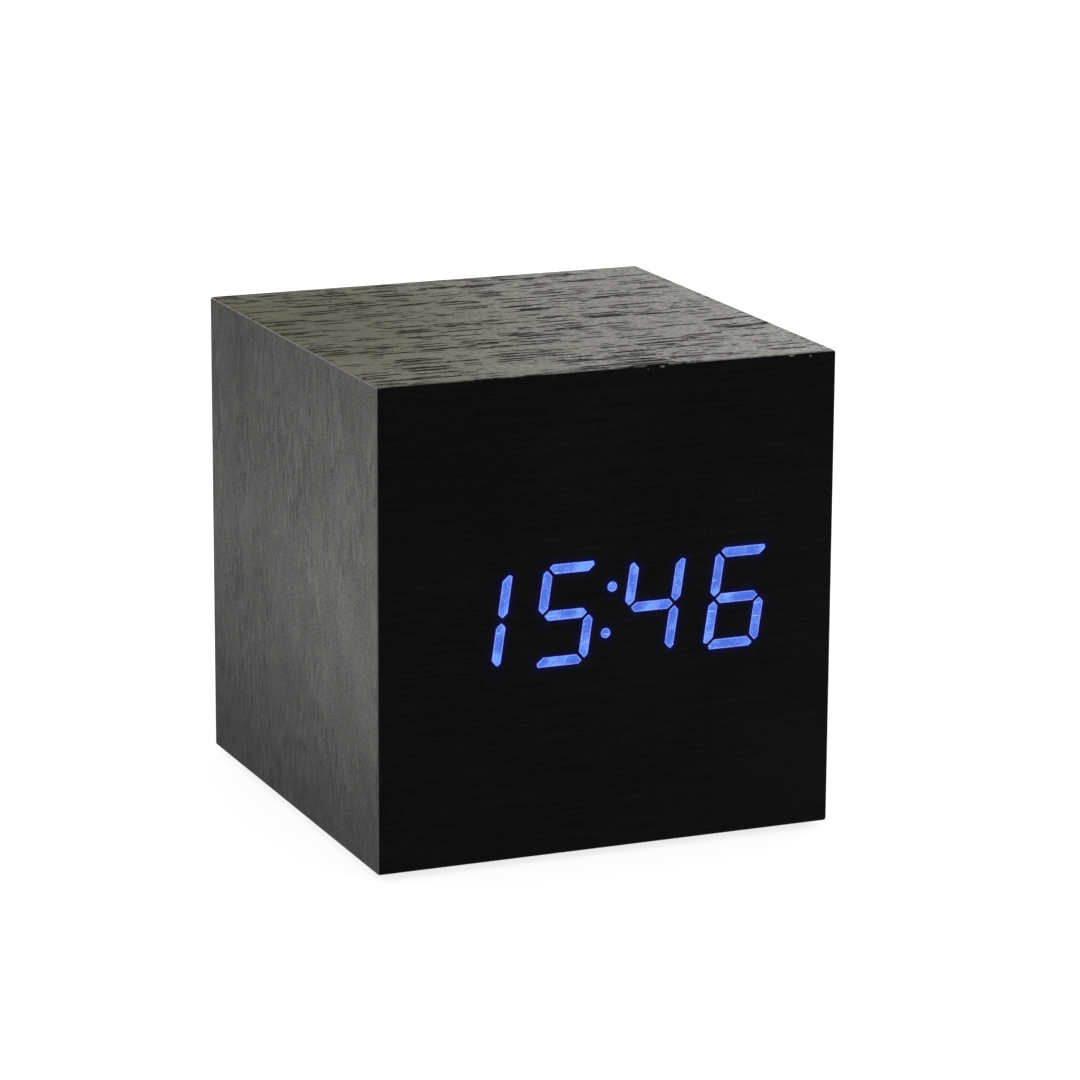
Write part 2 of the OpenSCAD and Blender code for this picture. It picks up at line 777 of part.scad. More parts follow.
module circuit_board(w, h, z, y0, y1, holes) {
  color(green_board) difference() {
    translate([0, 0, z]) slab(y0, y1) square([w, h], center = true);
    for (p = holes) rod(p[0], p[1], screw_d + 2 * screw_gap, y0 - cut, y1 + cut);
  }
}

module display_board() {
  circuit_board(display_board_w, display_board_h, display_z, display_board_y, display_back_y, display_holes);
}

// Flat chip with bent legs along its two long sides: base on the XZ plane, body towards +Y
module chip_package(l) {
  legs = floor(l / leg_pitch);
  translate([-l / 2, leg_t, -chip_body_w / 2]) cube([l, chip_body_h - leg_t, chip_body_w]);
  for (k = [0:legs - 1], side = [0, 1]) mirror([0, 0, side]) {
    x = (k - (legs - 1) / 2) * leg_pitch - leg_w / 2;
    translate([x, 0, chip_body_w / 2]) cube([leg_w, leg_t, leg_l]);
    translate([x, 0, chip_body_w / 2]) cube([leg_w, chip_body_h / 2, leg_t]);
  }
}

module display_driver() {
  color(black_plastic) translate([driver_at[0], display_back_y, display_z + driver_at[1]])
    chip_package(driver_l);
}

module board_spacer_set(holes, y0, y1) {
  color(white_plastic) for (p = holes) difference() {
    rod(p[0], p[1], spacer_d, y0, y1);
    rod(p[0], p[1], screw_d + 2 * screw_gap, y0 - cut, y1 + cut);
  }
}

module display_spacers() {
  board_spacer_set(display_holes, front_in_y, display_board_y);
}

module display_screws() {
  color(steel) for (p = display_holes)
    translate([p[0], display_back_y, p[1]]) rotate([90, 0, 0]) screw(display_back_y - skin_y - screw_stop);
}

// Rear controls

module rear_bezel() {
  color(black_plastic) difference() {
    translate([0, 0, bezel_z]) {
      slab(bezel_seat_y, bezel_face_y) rounded_square(bezel_w, bezel_h, bezel_corner);
      slab(bezel_seat_y - rim_l, bezel_seat_y) difference() {
        square([opening_w - 2 * bezel_fit, opening_h - 2 * bezel_fit], center = true);
        square([opening_w - 2 * bezel_fit - 2 * rim_t, opening_h - 2 * bezel_fit - 2 * rim_t], center = true);
      }
    }
    for (x = button_x) rod(x, button_z, button_d + 2 * button_gap, bezel_seat_y - cut, rear_y);
    rod(jack_x, socket_z, jack_mouth_d + 2 * jack_gap, bezel_seat_y - cut, rear_y);
    rod(mic_x, socket_z, mic_hole_d, bezel_seat_y - cut, rear_y);
    for (k = [0:slot_count - 1])
      translate([(k - (slot_count - 1) / 2) * slot_pitch, 0, socket_z]) slab(bezel_seat_y - cut, rear_y)
        slot_outline(slot_w, slot_h);
    for (sx = [-1, 1]) {
      rod(sx * bezel_screw_x, bezel_z, screw_d + 2 * screw_gap, bezel_seat_y - cut, rear_y);
      rod(sx * bezel_screw_x, bezel_z, head_d + 2 * head_gap, bezel_face_y - head_h, rear_y);
    }
  }
}

module bezel_screws() {
  color(steel) for (sx = [-1, 1])
    translate([sx * bezel_screw_x, bezel_face_y - head_h, bezel_z]) rotate([90, 0, 0])
      screw(bezel_face_y - head_h - rear_in_y - screw_stop);
}

// Cap, flange and stem turned about the button's axis, measured from the plunger's tip
module button(i) {
  flange_y = bezel_seat_y - button_play - plunger_tip_y;
  face_y = bezel_face_y + button_proud - plunger_tip_y;
  color(grey_plastic) translate([button_x[i], plunger_tip_y, button_z]) rotate([-90, 0, 0]) {
    cylinder(d = stem_d, h = flange_y);
    translate([0, 0, flange_y - button_flange_t]) cylinder(d = button_flange_d, h = button_flange_t);
    rotate_extrude() {
      square([button_d / 2, face_y - button_edge]);
      square([button_d / 2 - button_edge, face_y]);
      translate([button_d / 2 - button_edge, face_y - button_edge]) intersection() {
        circle(button_edge);
        square(button_edge);
      }
    }
  }
}

module switch_body(i) {
  color(black_plastic) difference() {
    translate([button_x[i] - switch_w / 2, main_out_y, button_z - switch_w / 2])
      cube([switch_w, switch_h, switch_w]);
    rod(
      button_x[i], button_z, plunger_d + 2 * plunger_gap,
      main_out_y + switch_h - plunger_in - button_travel - plunger_gap, main_out_y + switch_h + cut
    );
  }
}

module plunger(i) {
  color(white_plastic)
    rod(button_x[i], button_z, plunger_d, main_out_y + switch_h - plunger_in, plunger_tip_y);
}

module main_board() {
  circuit_board(main_board_w, main_board_h, bezel_z, main_in_y, main_out_y, main_holes);
}

module board_spacers() {
  board_spacer_set(main_holes, main_out_y, rear_in_y);
}

module board_screws() {
  color(steel) for (p = main_holes)
    translate([p[0], main_in_y, p[1]]) rotate([-90, 0, 0]) screw(rear_y - screw_stop - main_in_y);
}

module dc_jack() {
  shoulder_y = bezel_seat_y - jack_gap;
  color(black_plastic) difference() {
    union() {
      translate([jack_x - jack_w / 2, main_out_y, socket_z - jack_w / 2])
        cube([jack_w, shoulder_y - main_out_y, jack_w]);
      rod(jack_x, socket_z, jack_mouth_d, main_out_y, bezel_face_y);
    }
    rod(jack_x, socket_z, jack_bore_d, bezel_face_y - jack_depth, rear_y);
  }
}

module jack_pin() {
  color(brass) rod(jack_x, socket_z, jack_pin_d, bezel_face_y - jack_depth, bezel_face_y - jack_pin_drop);
}

module buzzer() {
  color(black_plastic) difference() {
    rod(0, socket_z, buzzer_d, main_out_y, main_out_y + buzzer_h);
    rod(0, socket_z, buzzer_hole_d, main_out_y + buzzer_h / 2, main_out_y + buzzer_h + cut);
  }
}

// Metal can with a felt disc let into its front
module microphone() {
  color(steel) difference() {
    rod(mic_x, socket_z, mic_d, main_out_y, main_out_y + mic_h);
    rod(mic_x, socket_z, mic_felt_d, main_out_y + mic_h - mic_felt_depth, main_out_y + mic_h + cut);
  }
}

module controller_chip() {
  color(black_plastic) translate([controller_at[0], main_in_y, bezel_z + controller_at[1]])
    rotate([0, 0, 180]) chip_package(controller_l);
}

module clock_crystal() {
  color(steel) translate([crystal_at[0], main_in_y - crystal_d / 2, bezel_z + crystal_at[1] - crystal_l / 2])
    cylinder(d = crystal_d, h = crystal_l);
}

// Round cup with one side open for pushing the cell out
module coin_holder() {
  holder_h = coin_h + holder_wall;
  holder_d = coin_d + 2 * coin_gap + 2 * holder_wall;
  color(black_plastic) translate([holder_at[0], main_in_y, bezel_z + holder_at[1]]) rotate([90, 0, 0])
    difference() {
      cylinder(d = holder_d, h = holder_h);
      translate([0, 0, holder_wall]) cylinder(d = coin_d + 2 * coin_gap, h = holder_h);
      translate([-push_w / 2, 0, holder_wall]) cube([push_w, holder_d, holder_h]);
    }
}

module coin_cell() {
  color(steel) translate([holder_at[0], main_in_y - holder_wall, bezel_z + holder_at[1]]) rotate([90, 0, 0])
    cylinder(d = coin_d, h = coin_h);
}

module ribbon_header(x, y0, y1, z) {
  translate([x - header_len / 2, y0, z - header_w / 2]) cube([header_len, y1 - y0, header_w]);
}

module ribbon_headers() {
  color(white_plastic) {
    ribbon_header(display_header_at[0], display_back_y, ribbon_start[0], ribbon_start[1]);
    ribbon_header(main_header_at[0], ribbon_end[0], main_in_y, ribbon_end[1]);
  }
}

function ribbon_point(s) =
  (1 - s)^3 * ribbon_start
  + 3 * s * (1 - s)^2 * (ribbon_start + [ribbon_pull, 0])
  + 3 * s^2 * (1 - s) * (ribbon_end - [ribbon_pull, 0])
  + s^3 * ribbon_end;

// Flat strip that leaves both headers squarely and bends between them
module display_ribbon() {
  line = [for (k = [0:ribbon_steps]) ribbon_point(k / ribbon_steps)];
  across = [
    for (k = [0:ribbon_steps])
      let (t = k == 0 || k == ribbon_steps ? [1, 0] : unit(line[k + 1] - line[k - 1]))
        [-t[1], t[0]] * ribbon_t / 2
  ];
  color(grey_plastic) translate([main_header_at[0], 0, 0]) rotate([90, 0, 90])
    linear_extrude(ribbon_w, center = true)
      polygon(concat(
        [for (k = [0:ribbon_steps]) line[k] - across[k]],
        [for (k = [ribbon_steps:-1:0]) line[k] + across[k]]
      ));
}

// Battery compartment

// Plate against the tray's end wall: side -1 is the front wall, x0 and x1 its first and last cell
module contact_form(side, x0, x1, gap) {
  y0 = side * tray_in_l / 2;
  translate([(x0 + x1) / 2, y0 + side * contact_t / 2, cell_z])
    cube([x1 - x0 + contact_w + 2 * gap, contact_t, contact_h + 2 * gap], center = true);
}

// Solder tab that goes up through the roof
module tab_form(side, x, gap) {
  z0 = cell_z;
  translate([x - tab_w / 2 - gap, side > 0 ? tray_in_l / 2 : -tray_in_l / 2 - contact_t, z0])
    cube([tab_w + 2 * gap, contact_t, tray_top_z + tab_up - z0]);
}

module battery_tray() {
  color(black_plastic) difference() {
    union() {
      difference() {
        union() {
          translate([0, 0, under_z]) linear_extrude(tray_top_z - under_z)
            square([tray_out_w, tray_out_l], center = true);
          translate([0, 0, under_z]) linear_extrude(flange_t)
            rounded_square(flange_w, flange_l, flange_corner);
        }
        translate([0, 0, under_z - cut]) linear_extrude(trough_z - under_z + cut)
          square([tray_in_w, tray_in_l], center = true);
        for (x = cell_x) rod(x, cell_z, 2 * trough_r, -tray_in_l / 2, tray_in_l / 2);
      }
      translate([-tray_in_w / 2, -tray_in_l / 2, under_z]) cube([tray_in_w, lip_l - lip_t / 2, lip_t]);
      translate([-tray_in_w / 2, hinge_y, hinge_z]) rotate([0, 90, 0]) cylinder(d = lip_t, h = tray_in_w);
      for (x = cell_gap_x)
        translate([x - tongue_w / 2, tray_in_l / 2 - rib_t, door_z1]) cube([tongue_w, rib_t, rib_h]);
    }
    contact_form(-1, -cell_pitch, -cell_pitch, contact_gap);
    contact_form(-1, 0, cell_pitch, contact_gap);
    contact_form(1, -cell_pitch, 0, contact_gap);
    contact_form(1, cell_pitch, cell_pitch, contact_gap);
    tab_form(-1, -cell_pitch, contact_gap);
    tab_form(1, cell_pitch, contact_gap);
    for (sx = [-1, 1], sy = [-1, 1]) translate([sx * tray_screw_x, sy * tray_screw_y, under_z - cut]) {
      cylinder(d = screw_d + 2 * screw_gap, h = flange_t + 2 * cut);
      cylinder(d = head_d + 2 * head_gap, h = cut + head_h);
    }
    translate([0, tray_in_l / 2 + scoop_reach - scoop_r, under_z - cut])
      cylinder(r = scoop_r, h = cut + scoop_depth);
  }
}

// Plate with two tongues at the front, ribs between the cells and a springy latch finger at the back
module battery_door() {
  door_w = tray_in_w - 2 * door_gap;
  door_mid_z = (door_z0 + door_z1) / 2;
  tongue_z = under_z + lip_t + tongue_gap;
  color(black_plastic) {
    difference() {
      translate([-door_w / 2, door_front_y, door_z0]) cube([door_w, door_back_y - door_front_y, door_t]);
      for (side = [-1, 1])
        translate([side * (latch_w + latch_slot) / 2 - latch_slot / 2, door_back_y - latch_l, door_z0 - cut])
          cube([latch_slot, latch_l + cut, door_t + 2 * cut]);
    }
    intersection() {
      translate([-latch_w / 2, door_back_y, door_mid_z]) rotate([0, 90, 0])
        cylinder(r = latch_bead_r, h = latch_w);
      translate([-latch_w / 2, door_back_y, door_z0]) cube([latch_w, latch_gap, door_t]);
    }
    for (x = cell_gap_x) {
      translate([x - tongue_w / 2, hinge_y - tongue_l, tongue_z])
        cube([tongue_w, door_front_y + rib_t - hinge_y + tongue_l, door_z1 - tongue_z]);
      translate([x - rib_t / 2, door_front_y + lip_l, door_z1])
        cube([rib_t, door_back_y - latch_l - 2 * lip_l - door_front_y, rib_h]);
    }
  }
}

// Cell turned about its axis: steel can with eased rims, and the nub at its positive end
module cell(i) {
  body_l = cell_l - nub_l;
  color(steel) translate([cell_x[i], nub_side[i] * (tray_in_l / 2 - cell_l), cell_z])
    rotate([nub_side[i] > 0 ? -90 : 90, 0, 0]) rotate_extrude() {
      polygon([
        [0, 0], [cell_d / 2 - cell_edge, 0], [cell_d / 2, cell_edge], [cell_d / 2, body_l - cell_edge],
        [cell_d / 2 - cell_edge, body_l], [0, body_l]
      ]);
      square([nub_d / 2, cell_l]);
    }
}

module plus_terminal() {
  color(brass) {
    contact_form(-1, -cell_pitch, -cell_pitch, 0);
    tab_form(-1, -cell_pitch, 0);
  }
}

module minus_terminal() {
  color(brass) {
    contact_form(1, cell_pitch, cell_pitch, 0);
    tab_form(1, cell_pitch, 0);
  }
}

module front_bridge() {
  color(brass) contact_form(-1, 0, cell_pitch, 0);
}

module rear_bridge() {
  color(brass) contact_form(1, -cell_pitch, 0, 0);
}

// Conical coil from its plate at 0 to its cell at spring_l, straight for one wire at both ends
function spring_path() =
  let (n = spring_steps * spring_coils, rise = spring_l - 2 * spring_wire)
  concat(
    [[spring_base_r, 0, 0]],
    [
      for (k = [0:n])
        let (r = spring_base_r + (spring_tip_r - spring_base_r) * k / n, a = 360 * k / spring_steps)
          [r * cos(a), r * sin(a), spring_wire + rise * k / n]
    ],
    [[spring_tip_r, 0, spring_l]]
  );

// Least distance between the wire's surfaces on coils that lie side by side
function spring_gap(p) =
  let (skip = spring_steps / 2 + 1)
  min([for (i = [0:len(p) - 1 - skip], j = [i + skip:len(p) - 1]) norm(p[i] - p[j])]) - spring_wire;

module contact_spring(i) {
  path = spring_path();
  echo(least_gap_between_coils = spring_gap(path));
  color(steel) translate([cell_x[i], -nub_side[i] * tray_in_l / 2, cell_z])
    rotate([nub_side[i] > 0 ? -90 : 90, 0, 0])
      tube(path, spring_wire, spring_sides, [1, 0, 0]);
}

module red_lead() {
  route = lead_route([-cell_pitch, -tray_in_l / 2, lead_start_z], 1, red_points, red_end);
  color(red_plastic) tube(smooth_route(route), lead_d, lead_sides, [1, 0, 0]);
}

module black_lead() {
  route = lead_route([cell_pitch, tray_in_l / 2, lead_start_z], -1, black_points, black_end);
  color(rubber) tube(smooth_route(route), lead_d, lead_sides, [1, 0, 0]);
}

module tray_screws() {
  color(steel) for (sx = [-1, 1], sy = [-1, 1])
    translate([sx * tray_screw_x, sy * tray_screw_y, under_z + head_h]) screw(board_t - screw_stop - head_h);
}

module foot_pads() {
  color(rubber) for (sx = [-1, 1], sy = [-1, 1])
    translate([sx * (case_w / 2 - pad_inset_x), sy * (case_d / 2 - pad_inset_y), 0])
      cylinder(d = pad_d, h = pad_h);
}

top_board();
bottom_board();
left_board();
right_board();
rear_board();
front_board();
front_veneer();
lit_digit(0);  // lit_digit_1
lit_digit(1);  // lit_digit_2
lit_digit(2);  // lit_digit_3
lit_digit(3);  // lit_digit_4
lit_colon();
display_reflector();
segment_resin();
led_chips();
display_board();
display_driver();
display_spacers();
display_screws();
rear_bezel();
bezel_screws();
button(2);  // set_button
button(1);  // up_button
button(0);  // down_button
switch_body(2);  // set_switch
switch_body(1);  // up_switch
switch_body(0);  // down_switch
plunger(2);  // set_plunger
plunger(1);  // up_plunger
plunger(0);  // down_plunger
main_board();
board_spacers();
board_screws();
dc_jack();
jack_pin();
buzzer();
microphone();
controller_chip();
clock_crystal();
coin_holder();
coin_cell();
ribbon_headers();
display_ribbon();
battery_tray();
battery_door();
cell(0);  // cell_1
cell(1);  // cell_2
cell(2);  // cell_3
plus_terminal();
minus_terminal();
front_bridge();
rear_bridge();
contact_spring(0);  // contact_spring_1
contact_spring(1);  // contact_spring_2
contact_spring(2);  // contact_spring_3
red_lead();
black_lead();
tray_screws();
foot_pads();
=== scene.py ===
import json
from math import cos, exp, pi, radians, sin

import bpy
from mathutils import Matrix, Vector
from mathutils.bvhtree import BVHTree


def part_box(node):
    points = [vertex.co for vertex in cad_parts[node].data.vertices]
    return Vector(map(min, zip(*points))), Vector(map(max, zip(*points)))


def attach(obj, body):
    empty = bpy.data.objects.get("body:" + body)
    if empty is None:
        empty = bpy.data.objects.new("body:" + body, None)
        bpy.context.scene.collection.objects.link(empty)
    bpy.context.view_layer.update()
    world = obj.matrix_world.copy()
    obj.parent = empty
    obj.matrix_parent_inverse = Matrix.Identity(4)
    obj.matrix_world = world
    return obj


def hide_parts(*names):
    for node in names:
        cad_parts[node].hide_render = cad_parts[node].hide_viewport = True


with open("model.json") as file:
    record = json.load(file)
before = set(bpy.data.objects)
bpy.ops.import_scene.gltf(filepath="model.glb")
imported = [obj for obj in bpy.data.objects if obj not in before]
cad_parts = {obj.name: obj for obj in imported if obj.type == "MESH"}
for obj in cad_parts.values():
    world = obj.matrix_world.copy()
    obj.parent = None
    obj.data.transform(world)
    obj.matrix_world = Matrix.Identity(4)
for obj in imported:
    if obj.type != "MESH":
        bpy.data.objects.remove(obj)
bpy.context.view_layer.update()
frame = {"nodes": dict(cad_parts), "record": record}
nodes = frame["nodes"]
mm = 0.001
facing = 0.9  # least part of a normal along an axis for a face that is turned that way

# The wooden case without its pads
caseLow = Vector((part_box("left_board")[0].x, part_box("front_veneer")[0].y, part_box("bottom_board")[0].z))
caseHigh = Vector((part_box("right_board")[1].x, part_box("rear_board")[1].y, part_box("top_board")[1].z))
caseMid = (caseLow + caseHigh) / 2
caseHalf = (caseHigh - caseLow) / 2
halfMm = caseHalf.x / mm
print("frame loaded,", len(nodes), "nodes, case", [round(v / mm, 2) for v in caseHigh - caseLow], "mm")

# Selecting and shaping

nodeCopy = {"merge": 0.001, "flatAngle": 0.5}
easing = {"steps": 3, "angle": 40}


def pick(piece):
    bpy.ops.object.select_all(action="DESELECT")
    piece.select_set(True)
    bpy.context.view_layer.objects.active = piece


def pickFaces(piece, test):
    pick(piece)
    bpy.ops.object.mode_set(mode="EDIT")
    bpy.ops.mesh.select_mode(type="FACE")
    bpy.ops.mesh.select_all(action="DESELECT")
    bpy.ops.object.mode_set(mode="OBJECT")
    for face in piece.data.polygons:
        face.select = test(face)
    bpy.ops.object.mode_set(mode="EDIT")


def copyNode(node, name):
    # own mesh, triangles merged back into flat faces
    piece = bpy.data.objects.new(name, nodes[node].data.copy())
    bpy.context.scene.collection.objects.link(piece)
    pick(piece)
    bpy.ops.mesh.customdata_custom_splitnormals_clear()
    bpy.ops.object.mode_set(mode="EDIT")
    bpy.ops.mesh.select_all(action="SELECT")
    bpy.ops.mesh.remove_doubles(threshold=nodeCopy["merge"] * mm)
    bpy.ops.mesh.mark_sharp(clear=True)
    bpy.ops.mesh.dissolve_limited(angle_limit=radians(nodeCopy["flatAngle"]))
    bpy.ops.object.mode_set(mode="OBJECT")
    return piece


def applyModifier(piece, kind, **settings):
    pick(piece)
    bpy.ops.object.modifier_add(type=kind)
    modifier = piece.modifiers[-1]
    for key, value in settings.items():
        setattr(modifier, key, value)
    bpy.ops.object.modifier_apply(modifier=modifier.name)


def easeEdges(piece, width):
    applyModifier(piece, "BEVEL", width=width * mm, segments=easing["steps"], limit_method="ANGLE",
                  angle_limit=radians(easing["angle"]), use_clamp_overlap=True)


def smooth(piece, angle=35):
    pick(piece)
    bpy.ops.object.shade_smooth_by_angle(angle=radians(angle))
    applyModifier(piece, "WEIGHTED_NORMAL", keep_sharp=True)


def dress(piece, material, node, body="case"):
    piece.data.materials.clear()
    piece.data.materials.append(material)
    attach(piece, body)
    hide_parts(node)


def removeHelper(piece):
    mesh = piece.data
    bpy.data.objects.remove(piece)
    bpy.data.meshes.remove(mesh)


# Shader building

def add(tree, kind, sockets, **settings):
    made = tree.nodes.new("ShaderNode" + kind)
    for key, value in settings.items():
        setattr(made, key, value)
    for key, value in sockets.items():
        if isinstance(value, bpy.types.NodeSocket):
            tree.links.new(value, made.inputs[key])
        else:
            made.inputs[key].default_value = value
    return made.outputs[0]


def newMaterial(name, **fixed):
    material = bpy.data.materials.new(name)
    material.use_nodes = True
    tree = material.node_tree
    shader = tree.nodes["Principled BSDF"]
    for key, value in fixed.items():
        shader.inputs[key.replace("_", " ")].default_value = value
    return material, tree, shader


def feed(tree, shader, **sockets):
    for key, value in sockets.items():
        tree.links.new(value, shader.inputs[key.replace("_", " ")])


def objectMm(tree, middle=(0, 0, 0)):
    # object coordinates in millimetres about a middle point
    coords = add(tree, "TexCoord", {}).node.outputs["Object"]
    place = tuple(-v / mm for v in middle)
    return add(tree, "Mapping", {"Vector": coords, "Location": place, "Scale": (1 / mm,) * 3})


def stretched(tree, coords, scale, shift=(0, 0, 0)):
    return add(tree, "Mapping", {"Vector": coords, "Scale": scale, "Location": shift})


def apart(tree, vector):
    return add(tree, "SeparateXYZ", {0: vector}).node.outputs


def noise(tree, coords, scale=1.0, detail=2.0, rough=0.5):
    return add(tree, "TexNoise", {"Vector": coords, "Scale": scale, "Detail": detail, "Roughness": rough})


def grainNoise(tree, coords, scale, detail=2.0, rough=0.5, shift=(0, 0, 0)):
    return noise(tree, stretched(tree, coords, scale, shift), 1.0, detail, rough)


def span(tree, value, low, high, first=0.0, last=1.0):
    # smooth step from first to last as the value goes from low to high
    return add(tree, "MapRange", {0: value, 1: low, 2: high, 3: first, 4: last},
               interpolation_type="SMOOTHSTEP")


def calc(tree, operation, a, b=0.0):
    return add(tree, "Math", {0: a, 1: b}, operation=operation)


def weighted(tree, *pairs):
    # values added up, each times its share
    total = 0.0
    for value, share in pairs:
        total = calc(tree, "ADD", calc(tree, "MULTIPLY", value, share), total)
    return total


def blendColour(tree, share, a, b):
    first = a if isinstance(a, bpy.types.NodeSocket) else (*a, 1)
    second = b if isinstance(b, bpy.types.NodeSocket) else (*b, 1)
    return add(tree, "Mix", {0: share, 6: first, 7: second}, data_type="RGBA").node.outputs[2]


def bump(tree, shader, height, depth):
    normal = add(tree, "Bump", {"Height": height, "Distance": depth * mm, "Strength": 1.0})
    feed(tree, shader, Normal=normal)


def wobble(tree, coords, scale, amount):
    # small random shifts that make straight borders ragged
    drift = grainNoise(tree, coords, scale).node.outputs["Color"]
    centred = add(tree, "VectorMath", {0: drift, 1: (0.5, 0.5, 0.5)}, operation="SUBTRACT")
    moved = add(tree, "VectorMath", {0: centred, 1: amount}, operation="MULTIPLY")
    return add(tree, "VectorMath", {0: coords, 1: moved}, operation="ADD")


dashEdge = 1 / 6  # soft border, as a share of the largest dash


def dashes(tree, coords, cell, share, size, shift=(0, 0, 0), crowd=0.0, blunt=False, flat=False):
    # a dash of random size in a share of the stretched cells, more of them where it is crowded
    grid = stretched(tree, coords, tuple(1 / c for c in cell), shift)
    spot = add(tree, "TexVoronoi", {"Vector": grid, "Scale": 1.0, "Randomness": 1.0}, feature="F1",
               distance="CHEBYCHEV" if blunt else "EUCLIDEAN", voronoi_dimensions="2D" if flat else "3D")
    chance = calc(tree, "ADD", apart(tree, spot.node.outputs["Color"])["X"], crowd)
    reach = add(tree, "MapRange", {0: chance, 1: 1 - share, 2: 1.0, 3: 0.0, 4: size})
    return span(tree, spot, reach, calc(tree, "SUBTRACT", reach, size * dashEdge))


# Worn edges of the case, with a painted highlight along its left edges

edgeWearAndHighlightLine = {
    "starts": 0.24, "full": 0.17, "patches": 0.25, "patchBorder": 0.14,
    "leftBand": (1.0, 0.4), "breaks": 0.6, "breakSpan": (0.2, 0.5), "leastLeft": 0.45,
}


def caseEdge(tree, coords):
    # second largest of the three distances from the middle: high only along the case's edges
    x, y, z = apart(tree, add(tree, "VectorMath", {0: coords}, operation="ABSOLUTE"))
    total = calc(tree, "ADD", calc(tree, "ADD", x, y), z)
    most = calc(tree, "MAXIMUM", calc(tree, "MAXIMUM", x, y), z)
    least = calc(tree, "MINIMUM", calc(tree, "MINIMUM", x, y), z)
    return calc(tree, "SUBTRACT", calc(tree, "SUBTRACT", total, most), least)


def edgeWearAndHighlight(tree, coords, patchy):
    # painted highlight: a pale line along the left edges; worn broken patches along the others
    look = edgeWearAndHighlightLine
    line = span(tree, caseEdge(tree, coords), halfMm - look["starts"], halfMm - look["full"])
    patches = noise(tree, coords, look["patches"], detail=4.0, rough=0.65)
    patches = span(tree, patches, patchy, patchy + look["patchBorder"])
    inner, outer = look["leftBand"]
    left = span(tree, apart(tree, coords)["X"], inner - halfMm, outer - halfMm)
    breaks = noise(tree, coords, look["breaks"], detail=3.0)
    breaks = span(tree, breaks, *look["breakSpan"], look["leastLeft"], 1.0)
    highlightLine = calc(tree, "MULTIPLY", left, breaks)
    return calc(tree, "MULTIPLY", line, calc(tree, "MAXIMUM", patches, highlightLine))


# Top, rear and bottom: veneer with open pores along x

topVeneer = {
    "warm": (0.073, 0.061, 0.022), "paintedSheen": (0.254, 0.247, 0.222), "toneSpan": (0.15, 1.25),
    "frontFrom": 20.0, "frontLift": 0.3, "broad": (0.04, 0.12, 0.12), "broadShare": 0.5,
    "speckle": (0.022, 0.019, 0.011), "fleck": (1.2, 2.8, 2.8), "fleckSpan": (0.36, 0.64),
    "fleckStrength": 0.74, "fleckHeight": 0.1,
    "pore": (0.004, 0.0035, 0.003), "poreStrength": 1.0, "poreDepth": 0.3, "poreRough": 0.95,
    "longPores": (7.5, 0.84, 0.84), "longShare": 0.9, "longSize": 0.5,
    "shortPores": (3.8, 0.63, 0.63), "shortShare": 0.75, "shortSize": 0.43, "shortStrength": 0.85,
    "crowds": (0.05, 0.2, 0.2), "crowdSpan": (0.3, 0.7), "crowding": 0.15,
    "bends": (0.5, 0.5, 0.5), "bendBy": (1.5, 0.5, 0.5),
    "splinters": (0.3, 3.5, 3.5), "splinterBy": (4.0, 0.1, 0.1),
    "fibres": (0.4, 3.2, 3.2), "fibreSpan": (0.34, 0.46), "fibreGap": 0.75,
    "wearAndHighlight": (0.19, 0.185, 0.165), "wornFrom": 0.53, "roughness": 0.45, "specular": 0.04,
}
backVeneer = {
    **topVeneer, "warm": (0.090, 0.086, 0.075), "paintedSheen": (0.112, 0.109, 0.099), "poreStrength": 0.62,
    "longPores": (10.0, 0.7, 0.7), "shortPores": (4.0, 0.5, 0.5), "poreDepth": 0.1,
    "fleck": (0.7, 3.0, 3.0), "fleckStrength": 0.5,
}


def makePoreVeneer(name, look):
    material, tree, shader = newMaterial(name, Specular_IOR_Level=look["specular"])
    coords = objectMm(tree, caseMid)
    bent = wobble(tree, coords, look["bends"], look["bendBy"])
    splintered = wobble(tree, bent, look["splinters"], look["splinterBy"])
    patch = grainNoise(tree, coords, look["crowds"], shift=(8, 1, 6))
    crowd = span(tree, patch, *look["crowdSpan"], -look["crowding"], look["crowding"])
    longPores = dashes(tree, splintered, look["longPores"], look["longShare"], look["longSize"],
                       crowd=crowd, blunt=True)
    shortPores = dashes(tree, splintered, look["shortPores"], look["shortShare"], look["shortSize"],
                        (3, 7, 5), crowd, blunt=True)
    pores = calc(tree, "MAXIMUM", longPores, calc(tree, "MULTIPLY", shortPores, look["shortStrength"]))
    # finer and paler fibres within each pore
    fibres = grainNoise(tree, splintered, look["fibres"], rough=0.6, shift=(4, 3, 9))
    strength = look["poreStrength"]
    fibres = span(tree, fibres, *look["fibreSpan"], strength * look["fibreGap"], strength)
    pores = calc(tree, "MULTIPLY", pores, fibres)
    fleck = grainNoise(tree, coords, look["fleck"], detail=4.0, rough=0.75)
    # painted sheen: warm on the left, cool and paler to the right; also paler towards the front
    place = apart(tree, coords)
    broad = grainNoise(tree, coords, look["broad"], shift=(3, 5, 2))
    sheenToRight = span(tree, place["X"], -halfMm, halfMm)
    toFront = span(tree, place["Y"], look["frontFrom"], -halfMm, 0.0, look["frontLift"])
    tone = weighted(tree, (sheenToRight, 1.0), (toFront, 1.0), (broad, look["broadShare"]))
    wood = blendColour(tree, span(tree, tone, *look["toneSpan"]), look["warm"], look["paintedSheen"])
    flecked = span(tree, fleck, *look["fleckSpan"], 0.0, look["fleckStrength"])
    wood = blendColour(tree, flecked, wood, look["speckle"])
    wood = blendColour(tree, pores, wood, look["pore"])
    wood = blendColour(tree, edgeWearAndHighlight(tree, coords, look["wornFrom"]), wood, look["wearAndHighlight"])
    roughness = span(tree, pores, 0.0, 1.0, look["roughness"], look["poreRough"])
    feed(tree, shader, Base_Color=wood, Roughness=roughness)
    height = calc(tree, "SUBTRACT", calc(tree, "MULTIPLY", fleck, look["fleckHeight"]), pores)
    bump(tree, shader, height, look["poreDepth"])
    return material


# Left and right: fine upright grain

